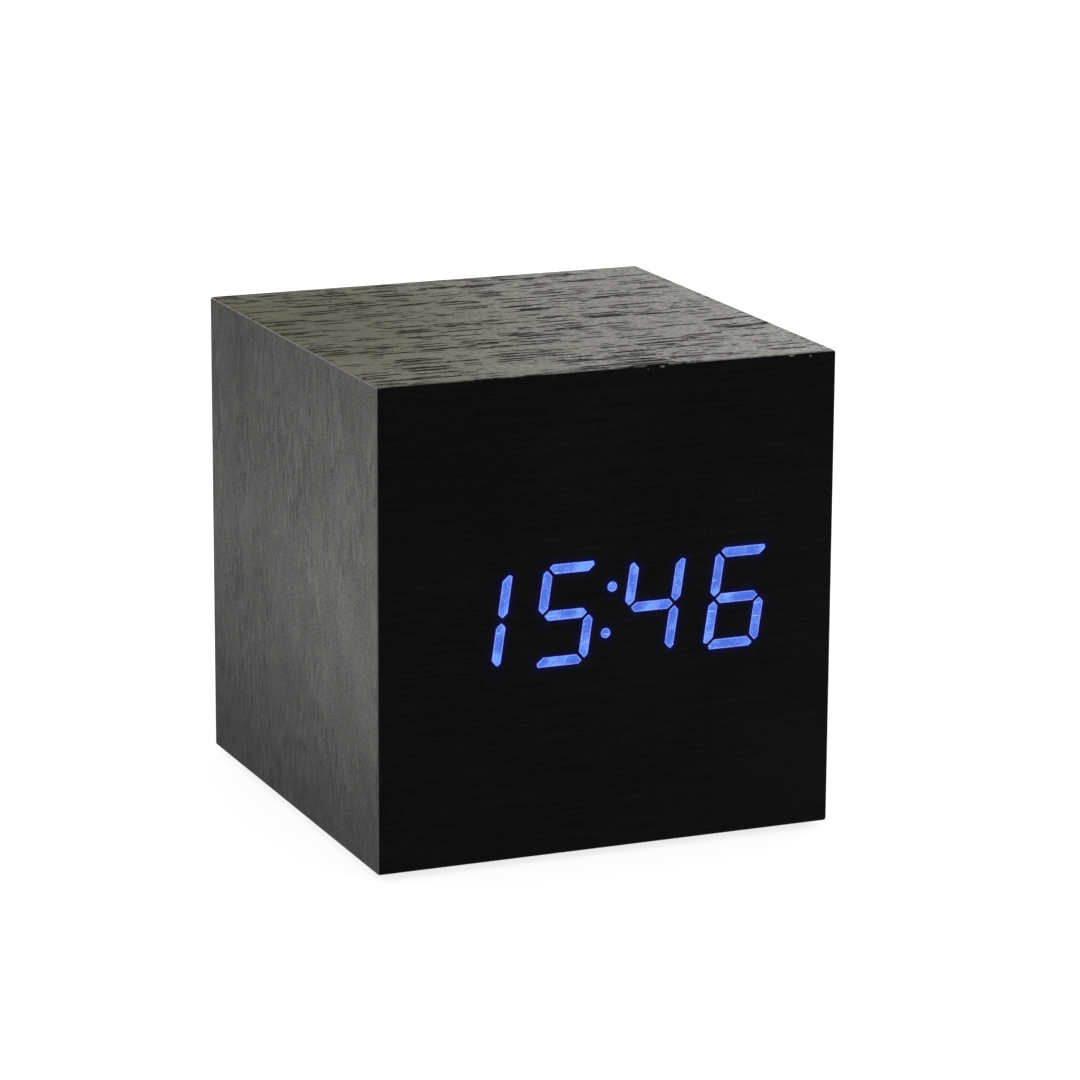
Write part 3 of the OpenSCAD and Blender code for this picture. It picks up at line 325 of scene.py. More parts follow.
sideVeneer = {
    "dark": (0.004, 0.004, 0.004), "light": (0.200, 0.200, 0.191), "tone": 0.76, "toneSpread": 0.5,
    "toneSpan": (0.2, 0.8), "roughSpan": (0.4, 0.6), "patchSpan": (0.38, 0.62),
    "rags": (0.35, 0.35, 0.35), "ragBy": (1.6, 1.6, 2.0),
    "ripple": (1.2, 1.2, 0.26), "ripplePatches": (0.16, 0.16, 0.08), "rippleReach": (0.15, 0.75),
    "rippleDepth": 0.03, "fine": (2.2, 2.2, 4.0), "fineShare": 0.7,
    "cloud": (0.12, 0.12, 0.09), "cloudShare": 0.3,
    "pits": (1.5, 1.5, 4.5), "pitShare": 0.3, "pitSize": 0.3, "pitTone": 0.72,
    "lowFrom": 2.0, "lowShade": 0.68, "topFrom": 4.0, "topShade": 0.32, "rearFrom": -30.0, "rearShade": 0.42,
    "wearAndHighlight": (0.19, 0.19, 0.18), "wornFrom": 0.5, "roughness": 0.5, "roughSpread": 0.08, "specular": 0.05,
}


def makeSideVeneer():
    look = sideVeneer
    material, tree, shader = newMaterial("sideVeneer", Specular_IOR_Level=look["specular"])
    coords = objectMm(tree, caseMid)
    ragged = wobble(tree, coords, look["rags"], look["ragBy"])
    cloud = grainNoise(tree, coords, look["cloud"], detail=3.0)
    patch = grainNoise(tree, coords, look["ripplePatches"], shift=(2, 9, 4))
    ripple = calc(tree, "SUBTRACT", grainNoise(tree, ragged, look["ripple"], rough=0.6), 0.5)
    reach = span(tree, patch, *look["patchSpan"], *look["rippleReach"])
    ripple = calc(tree, "MULTIPLY", ripple, reach)
    fine = grainNoise(tree, coords, look["fine"], rough=0.7)
    grain = weighted(tree, (ripple, 1.0), (fine, look["fineShare"]), (cloud, look["cloudShare"]))
    # painted shade: darker towards the bottom, the top and the rear, where less light falls
    place = apart(tree, coords)
    low = span(tree, place["Z"], look["lowFrom"], -halfMm, 1.0, 1 - look["lowShade"])
    top = span(tree, place["Z"], look["topFrom"], halfMm, 1.0, 1 - look["topShade"])
    rear = span(tree, place["Y"], look["rearFrom"], halfMm, 1.0, 1 - look["rearShade"])
    paintedShade = calc(tree, "MULTIPLY", calc(tree, "MULTIPLY", low, top), rear)
    darkest = look["tone"] * (1 - look["toneSpread"])
    palest = look["tone"] * (1 + look["toneSpread"])
    tone = calc(tree, "MULTIPLY", paintedShade, span(tree, grain, *look["toneSpan"], darkest, palest))
    pits = dashes(tree, ragged, look["pits"], look["pitShare"], look["pitSize"], (4, 4, 1))
    tone = calc(tree, "MULTIPLY", tone, span(tree, pits, 0.0, 1.0, 1.0, look["pitTone"]))
    wood = blendColour(tree, tone, look["dark"], look["light"])
    wood = blendColour(tree, edgeWearAndHighlight(tree, coords, look["wornFrom"]), wood, look["wearAndHighlight"])
    roughest = look["roughness"] + look["roughSpread"]
    roughness = span(tree, grain, *look["roughSpan"], roughest, look["roughness"])
    feed(tree, shader, Base_Color=wood, Roughness=roughness)
    bump(tree, shader, ripple, look["rippleDepth"])
    return material


# Front: dark skin with level grain, the glow round the digits and small chips along its top edge

faceSkin = {
    "dark": (0.0010, 0.0009, 0.0010), "light": (0.0056, 0.0055, 0.0060), "toneSpan": (0.34, 0.66),
    "lines": (0.10, 2.2, 2.2), "lineShare": 0.4, "speckle": (1.6, 2.4, 2.4), "speckleShare": 0.35,
    "cloud": (0.04, 0.04, 0.05), "cloudShare": 0.25, "slantReach": 60.0, "slant": 0.06,
    "halo": (0.0005, 0.002, 0.16), "unlit": (0, 0, 0),
    "chip": (0.22, 0.21, 0.19), "chipBand": (33.2, 33.6), "chipsFrom": (-14.0, -6.0),
    "chipCell": (1.6, 1.6, 1.6), "chipShare": 0.7, "chipSize": 0.38, "chipStrength": 0.8,
    "rags": (2.0, 2.0, 2.0), "ragBy": (0.5, 0.5, 0.5), "wornFrom": 0.56,
    "roughness": 0.5, "roughSpread": 0.12, "roughSpan": (0.38, 0.64), "grainDepth": 0.01, "specular": 0.04,
}


def makeFaceSkin():
    look = faceSkin
    material, tree, shader = newMaterial("faceSkin", Specular_IOR_Level=look["specular"],
                                         Emission_Strength=1.0)
    coords = objectMm(tree, caseMid)
    lines = grainNoise(tree, coords, look["lines"], detail=3.0, rough=0.6, shift=(1, 6, 3))
    speckle = grainNoise(tree, coords, look["speckle"], rough=0.7)
    cloud = grainNoise(tree, coords, look["cloud"], shift=(2, 0, 5))
    grain = weighted(tree, (lines, look["lineShare"]), (speckle, look["speckleShare"]),
                     (cloud, look["cloudShare"]))
    place = apart(tree, coords)
    # painted shade: the face a little darker towards the upper left and paler towards the lower right
    drop = calc(tree, "SUBTRACT", place["X"], place["Z"])
    slant = span(tree, drop, -look["slantReach"], look["slantReach"], -look["slant"], look["slant"])
    tone = calc(tree, "ADD", grain, slant)
    skin = blendColour(tree, span(tree, tone, *look["toneSpan"]), look["dark"], look["light"])
    glow = add(tree, "Attribute", {}, attribute_name="glow").node.outputs["Fac"]
    skin = blendColour(tree, glow, skin, look["unlit"])
    band = calc(tree, "MULTIPLY", span(tree, place["Z"], *look["chipBand"]),
                span(tree, place["X"], *look["chipsFrom"]))
    ragged = wobble(tree, coords, look["rags"], look["ragBy"])
    chips = dashes(tree, ragged, look["chipCell"], look["chipShare"], look["chipSize"], (1, 2, 3))
    chips = calc(tree, "MULTIPLY", calc(tree, "MULTIPLY", band, chips), look["chipStrength"])
    pale = calc(tree, "MAXIMUM", chips, edgeWearAndHighlight(tree, coords, look["wornFrom"]))
    roughest = look["roughness"] + look["roughSpread"]
    roughness = span(tree, grain, *look["roughSpan"], roughest, look["roughness"])
    feed(tree, shader, Base_Color=blendColour(tree, pale, skin, look["chip"]), Roughness=roughness,
         Emission_Color=blendColour(tree, glow, look["unlit"], look["halo"]))
    bump(tree, shader, grain, look["grainDepth"])
    return material


# Lit segments: mottled blue with paler fibres and rims

litSkin = {
    "blue": (0.066, 0.145, 0.70), "cyan": (0.185, 0.375, 0.98), "mottleSpan": (0.44, 0.59),
    "cloud": (0.36, 0.36, 0.36), "cloudShare": 0.55, "fine": (4.5, 4.5, 4.5), "fineShare": 0.45,
    "fibre": (0.33, 0.52, 1.0), "fibres": (8.0, 1.0, 1.0), "fibreSize": 0.11, "fibreStrength": 0.85,
    "waves": (0.8, 0.8, 0.8), "waveBy": (0.6, 0.0, 0.25),
    "rim": (0.33, 0.42, 0.97), "rimBreaks": (2.2, 2.2, 2.2), "breakSpan": (0.38, 0.58), "leastRim": 0.35,
    "unlit": (0.02, 0.03, 0.08), "roughness": 0.55, "specular": 0.05, "depth": 0.005,
}


def makeLitSkin():
    look = litSkin
    material, tree, shader = newMaterial("litSkin", Base_Color=(*look["unlit"], 1), Emission_Strength=1.0,
                                         Roughness=look["roughness"], Specular_IOR_Level=look["specular"])
    coords = objectMm(tree, caseMid)
    cloud = grainNoise(tree, coords, look["cloud"], shift=(5, 2, 8))
    fine = grainNoise(tree, coords, look["fine"], rough=0.7)
    mottle = weighted(tree, (cloud, look["cloudShare"]), (fine, look["fineShare"]))
    lit = blendColour(tree, span(tree, mottle, *look["mottleSpan"]), look["blue"], look["cyan"])
    waved = apart(tree, wobble(tree, coords, look["waves"], look["waveBy"]))
    flat = add(tree, "CombineXYZ", {0: waved["X"], 1: waved["Z"]})
    fibres = dashes(tree, flat, look["fibres"], 1.0, look["fibreSize"], (2, 4, 1), flat=True)
    lit = blendColour(tree, calc(tree, "MULTIPLY", fibres, look["fibreStrength"]), lit, look["fibre"])
    rim = add(tree, "Attribute", {}, attribute_name="rim").node.outputs["Fac"]
    breaks = grainNoise(tree, coords, look["rimBreaks"], detail=3.0, rough=0.7, shift=(7, 3, 1))
    breaks = span(tree, breaks, *look["breakSpan"], look["leastRim"], 1.0)
    rim = calc(tree, "MULTIPLY", span(tree, rim, 0.1, 0.9), breaks)
    feed(tree, shader, Emission_Color=blendColour(tree, rim, lit, look["rim"]))
    bump(tree, shader, mottle, look["depth"])
    return material


# Plain finishes: moulded plastics, metals and the inside

plasticGrain = {
    "cloud": 0.15, "sparkShare": 0.6, "cloudShare": 0.4, "rougher": 0.08, "smoother": 0.05,
    "toneSpan": (0.35, 0.65), "roughSpan": (0.3, 0.7),
}
plastics = {
    "board_core": dict(name="boardCore", dark=(0.20, 0.125, 0.07), light=(0.36, 0.25, 0.15),
                       roughness=0.85, grainSize=0.35, depth=0.05, specular=0.2),
    "reflector_plastic": dict(name="reflectorPlastic", dark=(0.09, 0.09, 0.095), light=(0.14, 0.14, 0.145),
                              roughness=0.5),
    "clear_resin": dict(name="clearResin", dark=(0.70, 0.73, 0.76), light=(0.84, 0.86, 0.88),
                        roughness=0.25, grainSize=0.5, depth=0.004),
    "chip_plastic": dict(name="chipPlastic", dark=(0.012, 0.012, 0.013), light=(0.026, 0.026, 0.028),
                         roughness=0.55, grainSize=0.15),
    "led_chip": dict(name="ledChip", dark=(0.62, 0.55, 0.22), light=(0.85, 0.80, 0.52),
                     roughness=0.3, grainSize=0.3, depth=0.004),
    "white_nylon": dict(name="whiteNylon", dark=(0.70, 0.69, 0.65), light=(0.82, 0.81, 0.78),
                        roughness=0.45, grainSize=0.4),
    "bezel_plastic": dict(name="bezelPlastic", dark=(0.012, 0.012, 0.0125), light=(0.024, 0.024, 0.025),
                          roughness=0.52, grainSize=0.18, depth=0.02),
    "button_plastic": dict(name="buttonPlastic", dark=(0.060, 0.060, 0.063), light=(0.085, 0.085, 0.089),
                           roughness=0.38, grainSize=0.3, depth=0.006),
    "red_insulation": dict(name="redInsulation", dark=(0.36, 0.02, 0.014), light=(0.50, 0.04, 0.028),
                           roughness=0.35, grainSize=0.5, depth=0.006),
    "black_insulation": dict(name="blackInsulation", dark=(0.013, 0.013, 0.013),
                             light=(0.026, 0.026, 0.026), roughness=0.35, grainSize=0.5, depth=0.006),
    "pad_rubber": dict(name="padRubber", dark=(0.016, 0.016, 0.016), light=(0.034, 0.034, 0.034),
                       roughness=0.75, grainSize=0.2, depth=0.03, specular=0.3),
}
metalGrain = {
    "stains": 0.6, "lineShare": 0.5, "stainShare": 0.5, "rougher": 0.1, "depth": 0.004,
    "toneSpan": (0.35, 0.65), "roughSpan": (0.3, 0.7),
}
metals = {
    "screw_steel": dict(name="screwSteel", dark=(0.44, 0.44, 0.43), light=(0.66, 0.66, 0.64),
                        roughness=0.28, brush=(8.0, 8.0, 8.0)),
    "plated_brass": dict(name="platedBrass", dark=(0.60, 0.55, 0.44), light=(0.76, 0.72, 0.60),
                         roughness=0.26, brush=(9.0, 9.0, 1.0)),
    "can_metal": dict(name="canMetal", dark=(0.52, 0.52, 0.51), light=(0.70, 0.70, 0.69),
                      roughness=0.22, brush=(1.0, 6.0, 6.0)),
}


def makePlastic(name, dark, light, roughness, grainSize=0.25, depth=0.01, specular=0.5):
    look = plasticGrain
    material, tree, shader = newMaterial(name, Specular_IOR_Level=specular)
    coords = objectMm(tree)
    spark = noise(tree, coords, 1 / grainSize, detail=3.0, rough=0.6)
    cloud = noise(tree, coords, look["cloud"], detail=3.0)
    share = weighted(tree, (spark, look["sparkShare"]), (cloud, look["cloudShare"]))
    colour = blendColour(tree, span(tree, share, *look["toneSpan"]), dark, light)
    uneven = span(tree, share, *look["roughSpan"], roughness + look["rougher"],
                  roughness - look["smoother"])
    feed(tree, shader, Base_Color=colour, Roughness=uneven)
    bump(tree, shader, spark, depth)
    return material


def makeMetal(name, dark, light, roughness, brush):
    look = metalGrain
    material, tree, shader = newMaterial(name, Metallic=1.0)
    coords = objectMm(tree)
    lines = grainNoise(tree, coords, brush, detail=3.0, rough=0.6)
    stains = noise(tree, coords, look["stains"], detail=3.0)
    share = weighted(tree, (lines, look["lineShare"]), (stains, look["stainShare"]))
    colour = blendColour(tree, span(tree, share, *look["toneSpan"]), dark, light)
    uneven = span(tree, share, *look["roughSpan"], roughness + look["rougher"], roughness)
    feed(tree, shader, Base_Color=colour, Roughness=uneven)
    bump(tree, shader, lines, look["depth"])
    return material


circuitBoard = {
    "mask": (0.012, 0.11, 0.05), "track": (0.022, 0.19, 0.085), "pad": (0.55, 0.53, 0.47),
    "pitch": 2.54, "padSpread": 0.35, "padSize": (0.16, 0.13), "trackWave": 0.35, "trackBend": 4.0,
    "trackSpan": (0.45, 0.55), "roughness": 0.32, "depth": 0.03,
}


def makeCircuitBoard():
    look = circuitBoard
    material, tree, shader = newMaterial("circuitBoard", Roughness=look["roughness"])
    coords = objectMm(tree)
    flat = stretched(tree, coords, (1 / look["pitch"], 0.001, 1 / look["pitch"]))
    cells = add(tree, "TexVoronoi", {"Vector": flat, "Scale": 1.0, "Randomness": look["padSpread"]},
                distance="MANHATTAN", feature="F1")
    waves = add(tree, "TexWave", {"Vector": flat, "Scale": look["trackWave"], "Detail": 1.0,
                                  "Distortion": look["trackBend"]})
    tracks = span(tree, waves, *look["trackSpan"])
    pads = span(tree, cells, *look["padSize"])
    mask = blendColour(tree, tracks, look["mask"], look["track"])
    feed(tree, shader, Base_Color=blendColour(tree, pads, mask, look["pad"]))
    bump(tree, shader, calc(tree, "ADD", tracks, pads), look["depth"])
    return material


cellJacket = {
    "jacket": (0.045, 0.05, 0.06), "band": (0.30, 0.19, 0.075), "steel": (0.62, 0.62, 0.60),
    "bandLength": 11.0, "nub": 1.0, "edge": 0.7, "border": 0.05, "scuffs": 1.4, "scuffStrength": 0.25,
    "scuffSpan": (0.55, 0.75), "roughness": 0.3, "depth": 0.006,
}


def makeCellJacket(node, nubSide):
    look = cellJacket
    low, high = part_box(node)
    material, tree, shader = newMaterial("cellJacket_" + node, Roughness=look["roughness"])
    coords = objectMm(tree, (low + high) / 2)
    along = calc(tree, "MULTIPLY", apart(tree, coords)["Y"], float(nubSide))
    half = (high.y - low.y) / 2 / mm
    bandStart = half - look["bandLength"]
    nubEnd = half - look["nub"] - look["edge"]
    flatEnd = look["edge"] - half
    scuffs = noise(tree, coords, look["scuffs"], detail=4.0, rough=0.65)
    inBand = span(tree, along, bandStart, bandStart + look["border"])
    wrap = blendColour(tree, inBand, look["jacket"], look["band"])
    scuffed = span(tree, scuffs, *look["scuffSpan"], 0.0, look["scuffStrength"])
    wrap = blendColour(tree, scuffed, wrap, look["steel"])
    ends = calc(tree, "MAXIMUM", span(tree, along, nubEnd - look["border"], nubEnd),
                span(tree, along, flatEnd + look["border"], flatEnd))
    feed(tree, shader, Base_Color=blendColour(tree, ends, wrap, look["steel"]), Metallic=ends)
    bump(tree, shader, scuffs, look["depth"])
    return material


ribbonCable = {
    "grey": (0.30, 0.30, 0.31), "grooveShadeAndDirt": (0.16, 0.16, 0.17), "pitch": 1.27, "grooveDepth": 0.25,
    "ridgeSpan": (0.05, 0.55), "dirt": 0.8, "dirtSpan": (0.5, 0.8), "dirtStrength": 0.3, "roughness": 0.5,
}


def makeRibbonGrey():
    look = ribbonCable
    material, tree, shader = newMaterial("ribbonGrey", Roughness=look["roughness"])
    coords = objectMm(tree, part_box("display_ribbon")[0])
    across = calc(tree, "MULTIPLY", apart(tree, coords)["X"], pi / look["pitch"])
    ridge = calc(tree, "ABSOLUTE", calc(tree, "SINE", across))
    dirt = noise(tree, coords, look["dirt"], detail=3.0)
    dirt = span(tree, dirt, *look["dirtSpan"], 0.0, look["dirtStrength"])
    # painted shade: the grooves between the wires darker grey than the ridges; the dirt takes the same grey
    grey = blendColour(tree, span(tree, ridge, *look["ridgeSpan"]), look["grooveShadeAndDirt"], look["grey"])
    feed(tree, shader, Base_Color=blendColour(tree, dirt, grey, look["grooveShadeAndDirt"]))
    bump(tree, shader, ridge, look["grooveDepth"])
    return material


finishes = {
    "stained_veneer": makePoreVeneer("topVeneer", topVeneer), "face_veneer": makeFaceSkin(),
    "lit_skin": makeLitSkin(), "circuit_board": makeCircuitBoard(), "ribbon_grey": makeRibbonGrey(),
}
for slot, look in plastics.items():
    finishes[slot] = makePlastic(**look)
for slot, look in metals.items():
    finishes[slot] = makeMetal(**look)
boardWood = {"top_board": finishes["stained_veneer"], "left_board": makeSideVeneer()}
boardWood["right_board"] = boardWood["left_board"]
boardWood["rear_board"] = makePoreVeneer("backVeneer", backVeneer)
boardWood["bottom_board"] = boardWood["rear_board"]
print("finishes ready,", len(finishes), "and the veneers of the sides and back")

# Case boards: the outer form is one cube with rounded edges, and each board is trimmed by it

caseForm = {"edgeRadius": 0.44, "edgeSteps": 6, "lift": 0.01, "smoothAngle": 30}
boardPieces = {
    "top_board": "topBoard", "bottom_board": "bottomBoard", "rear_board": "rearBoard",
    "left_board": "leftBoard", "right_board": "rightBoard",
}


def makeCaseForm():
    # a hair larger than the case, so that only its edges cut
    bpy.ops.object.select_all(action="DESELECT")
    grown = caseHalf + Vector((1, 1, 1)) * caseForm["lift"] * mm
    bpy.ops.mesh.primitive_cube_add(size=2, location=caseMid, scale=grown)
    form = bpy.context.object
    form.name = "caseForm"
    bpy.ops.object.transform_apply(location=True, rotation=True, scale=True)
    bpy.ops.object.mode_set(mode="EDIT")
    bpy.ops.mesh.select_all(action="SELECT")
    bpy.ops.mesh.bevel(offset=caseForm["edgeRadius"] * mm, segments=caseForm["edgeSteps"], affect="EDGES")
    bpy.ops.object.mode_set(mode="OBJECT")
    return form


form = makeCaseForm()
for node, name in boardPieces.items():
    board = copyNode(node, name)
    applyModifier(board, "BOOLEAN", object=form, operation="INTERSECT", solver="EXACT")
    smooth(board, caseForm["smoothAngle"])
    dress(board, boardWood[node], node)
print("case boards trimmed")

# Face skin: a fine patch round the digits carries the glow that creeps into the wood

faceGlow = {
    "margin": 1.6, "columns": 4, "cuts": 109, "cutterLift": 0.2,
    "reach": 0.13, "tail": 0.4, "tailShare": 0.2,
}
segmentCorner = {"radius": 0.13, "steps": 3, "level": 0.99}
litPieces = {
    "lit_digit_1": "litDigit1", "lit_digit_2": "litDigit2", "lit_digit_3": "litDigit3",
    "lit_digit_4": "litDigit4", "lit_colon": "litColon",
}


def copyLit(node, name):
    # lit patch with softened corners in front view
    piece = copyNode(node, name)
    pick(piece)
    bpy.ops.object.mode_set(mode="EDIT")
    bpy.ops.mesh.select_mode(type="EDGE")
    bpy.ops.mesh.select_all(action="DESELECT")
    bpy.ops.object.mode_set(mode="OBJECT")
    points = piece.data.vertices
    for edge in piece.data.edges:
        a, b = (points[i].co for i in edge.vertices)
        edge.select = abs((b - a).normalized().y) > segmentCorner["level"]
    bpy.ops.object.mode_set(mode="EDIT")
    if node != "lit_colon":
        bpy.ops.mesh.bevel(offset=segmentCorner["radius"] * mm, segments=segmentCorner["steps"],
                           affect="EDGES")
    bpy.ops.object.mode_set(mode="OBJECT")
    return piece


def makeLitCutter():
    copies = [copyLit(node, "cutter_" + node) for node in litPieces]
    bpy.ops.object.select_all(action="DESELECT")
    for piece in copies:
        piece.select_set(True)
    bpy.context.view_layer.objects.active = copies[0]
    bpy.ops.object.join()
    cutter = bpy.context.object
    for side in (-1, 1):
        pickFaces(cutter, lambda face: face.normal.y * side > facing)
        bpy.ops.transform.translate(value=(0, side * faceGlow["cutterLift"] * mm, 0))
        bpy.ops.object.mode_set(mode="OBJECT")
    return cutter


def makeFace():
    low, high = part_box("front_veneer")
    bpy.ops.object.select_all(action="DESELECT")
    bpy.ops.mesh.primitive_cube_add(size=2, location=(low + high) / 2, scale=(high - low) / 2)
    face = bpy.context.object
    face.name = "faceSkin"
    bpy.ops.object.transform_apply(location=True, rotation=True, scale=True)
    # mitred edges: the back is smaller by the thickness all round
    thick = high.y - low.y
    pickFaces(face, lambda f: f.normal.y > facing)
    mitre = 1 - thick / (high.x - low.x) * 2
    bpy.ops.transform.resize(value=(mitre, 1, mitre))
    bpy.ops.object.mode_set(mode="OBJECT")
    boxes = [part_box(node) for node in litPieces]
    margin = faceGlow["margin"] * mm
    left = min(b[0].x for b in boxes) - margin
    right = max(b[1].x for b in boxes) + margin
    bottom = min(b[0].z for b in boxes) - margin
    top = max(b[1].z for b in boxes) + margin
    step = (right - left) / faceGlow["columns"]
    cuts = [((left + step * i, 0, 0), (1, 0, 0)) for i in range(faceGlow["columns"] + 1)]
    cuts += [((0, 0, bottom), (0, 0, 1)), ((0, 0, top), (0, 0, 1))]
    for place, normal in cuts:
        pick(face)
        bpy.ops.object.mode_set(mode="EDIT")
        bpy.ops.mesh.select_all(action="SELECT")
        bpy.ops.mesh.bisect(plane_co=place, plane_no=normal)
        bpy.ops.object.mode_set(mode="OBJECT")
    pickFaces(face, lambda f: f.normal.y < -facing and left < f.center.x < right
              and bottom < f.center.z < top)
    bpy.ops.mesh.subdivide(number_cuts=faceGlow["cuts"])
    bpy.ops.object.mode_set(mode="OBJECT")
    return face


def addGlow(face, cutter):
    # fades with the distance from the nearest lit segment, steeply and then in a long tail
    low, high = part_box("lit_colon")
    middle = (low.y + high.y) / 2
    lamp = BVHTree.FromObject(cutter, bpy.context.evaluated_depsgraph_get())
    glow = face.data.attributes.new("glow", "FLOAT", "POINT")
    for vertex, value in zip(face.data.vertices, glow.data):
        near = lamp.find_nearest((vertex.co.x, middle, vertex.co.z))
        away = near[3] / mm
        close = (1 - faceGlow["tailShare"]) * exp(-away / faceGlow["reach"])
        value.value = close + faceGlow["tailShare"] * exp(-away / faceGlow["tail"])


cutter = makeLitCutter()
face = makeFace()
applyModifier(face, "BOOLEAN", object=form, operation="INTERSECT", solver="EXACT")
applyModifier(face, "BOOLEAN", object=cutter, operation="DIFFERENCE", solver="EXACT")
addGlow(face, cutter)
smooth(face, caseForm["smoothAngle"])
dress(face, finishes["face_veneer"], "front_veneer")
removeHelper(cutter)
removeHelper(form)
print("face skin cut,", len(face.data.polygons), "faces")

# Lit digits: each segment gets a narrow rim, which glows paler

litRim = {"width": 0.24}


def makeLitPiece(node, name):
    piece = copyLit(node, name)
    pickFaces(piece, lambda face: face.normal.y < -facing)
    bpy.ops.mesh.inset(thickness=litRim["width"] * mm, use_individual=True)
    bpy.ops.object.mode_set(mode="OBJECT")
    inner = {v for face in piece.data.polygons if face.select for v in face.vertices}
    rim = piece.data.attributes.new("rim", "FLOAT", "POINT")
    for index, value in enumerate(rim.data):
        value.value = 0.0 if index in inner else 1.0
    dress(piece, finishes["lit_skin"], node)


for node, name in litPieces.items():
    makeLitPiece(node, name)
print("digits lit")

# Rear panel and bottom: moulded pieces, each with its slot, the width of its eased edges and its body

easedPieces = {
    "rear_bezel": ("rearBezel", "bezel_plastic", 0.22, "case"),
    "dc_jack": ("dcJack", "bezel_plastic", 0.2, "case"),
    "jack_pin": ("jackPin", "plated_brass", 0.35, "case"),
    "bezel_screws": ("bezelScrews", "screw_steel", 0.1, "case"),
    "battery_tray": ("batteryTray", "bezel_plastic", 0.15, "case"),
    "tray_screws": ("trayScrews", "screw_steel", 0.1, "case"),
    "foot_pads": ("footPads", "pad_rubber", 0.3, "case"),
    "battery_door": ("batteryDoor", "bezel_plastic", 0.15, "battery_door"),
}
for node, (name, slot, width, body) in easedPieces.items():
    piece = copyNode(node, name)
    easeEdges(piece, width)
    smooth(piece)
    dress(piece, finishes[slot], node, body)
print("rear panel and bottom eased")

# Buttons: caps with a shallow dish, pressed into the flat of the cap in rings

buttonCap = {"dishRim": 0.86, "dishDepth": 0.35, "dishRings": 5, "flat": 0.999, "flatDepth": 0.001}
buttonPieces = {"set_button": "setButton", "up_button": "upButton", "down_button": "downButton"}


def makeButton(node, name):
    look = buttonCap
    piece = copyNode(node, name)
    low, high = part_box(node)
    middle = Vector(((low.x + high.x) / 2, high.y, (low.z + high.z) / 2))
    flatFrom = high.y - look["flatDepth"] * mm
    pickFaces(piece, lambda face: face.normal.y > look["flat"] and face.center.y > flatFrom)
    bpy.ops.mesh.extrude_region_move()
    bpy.ops.transform.resize(value=(look["dishRim"], 1, look["dishRim"]), center_override=middle)
    shares = [1 - k / (look["dishRings"] + 1) for k in range(look["dishRings"] + 1)]
    for outer, inner in zip(shares, shares[1:]):
        bpy.ops.mesh.extrude_region_move()
        bpy.ops.transform.resize(value=(inner / outer, 1, inner / outer), center_override=middle)
        bpy.ops.transform.translate(value=(0, -look["dishDepth"] * (outer**2 - inner**2) * mm, 0))
    bpy.ops.object.mode_set(mode="OBJECT")
    smooth(piece)
    dress(piece, finishes["button_plastic"], node, node)


for node, name in buttonPieces.items():
    makeButton(node, name)
print("buttons dished")

# Springs and leads: smooth round wire

wireForm = {"roundness": 3, "merge": 0.0005, "smoothAngle": 40}
contactSpring = {"wire": 0.6, "baseRadius": 3.9, "tipRadius": 2.2, "coils": 3, "steps": 28}
springSides = {"contact_spring_1": 1, "contact_spring_2": -1, "contact_spring_3": 1}
leadWire = {"thickness": 1.2, "steps": 8}
leads = {
    "red_lead": {
        "name": "redLead", "slot": "red_insulation",
        "points": [(-11.2, -24.35, 15.8), (-11.2, -23.35, 15.8), (-11.2, -22.35, 15.8), (-11.5, -18, 16.6),
                   (-12, -8, 16.8), (-11.5, 4, 17), (-11, 11, 19.5), (-10.2, 14.5, 25), (-10, 20.4, 30),
                   (-10, 21.4, 30), (-10, 22.4, 30)],
    },
    "black_lead": {
        "name": "blackLead", "slot": "black_insulation",
        "points": [(11.2, 24.35, 15.8), (11.2, 23.35, 15.8), (11.2, 22.35, 15.8), (10, 18.5, 16.4),
                   (6, 15, 17.4), (0, 13, 20), (-4, 13.5, 25), (-5, 20.4, 30), (-5, 21.4, 30),
                   (-5, 22.4, 30)],
    },
}


def wirePiece(name, points, thickness):
    curve = bpy.data.curves.new(name, "CURVE")
    curve.dimensions = "3D"
    curve.bevel_depth = thickness / 2
    curve.bevel_resolution = wireForm["roundness"]
    curve.use_fill_caps = True
    line = curve.splines.new("POLY")
    line.points.add(len(points) - 1)
    for point, place in zip(line.points, points):
        point.co = (*place, 1)
    piece = bpy.data.objects.new(name, curve)
    bpy.context.scene.collection.objects.link(piece)
    pick(piece)
    bpy.ops.object.convert(target="MESH")
    bpy.ops.object.mode_set(mode="EDIT")
    bpy.ops.mesh.select_all(action="SELECT")
    bpy.ops.mesh.remove_doubles(threshold=wireForm["merge"] * mm)
    bpy.ops.mesh.normals_make_consistent(inside=False)
    bpy.ops.object.mode_set(mode="OBJECT")
    bpy.ops.object.shade_smooth_by_angle(angle=radians(wireForm["smoothAngle"]))
    return bpy.context.object


def makeSpring(node, side):
    # a cone of coils from its contact towards the cell
    look = contactSpring
    low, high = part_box(node)
    wire = look["wire"] * mm
    middle = (low + high) / 2
    base = high.y if side > 0 else low.y
    reach = high.y - low.y
    count = look["coils"] * look["steps"]
    points = [(middle.x + look["baseRadius"] * mm, base, middle.z)]
    for k in range(count + 1):
        share = k / count
        radius = (look["baseRadius"] + (look["tipRadius"] - look["baseRadius"]) * share) * mm
        turn = 2 * pi * k / look["steps"]
        rise = wire + (reach - 2 * wire) * share
        points.append((middle.x + radius * cos(turn), base - side * rise,
                       middle.z + side * radius * sin(turn)))
    points.append((middle.x + look["tipRadius"] * mm, base - side * reach, middle.z))
    piece = wirePiece("contactSpring" + node[-1], points, wire)
    dress(piece, finishes["can_metal"], node)


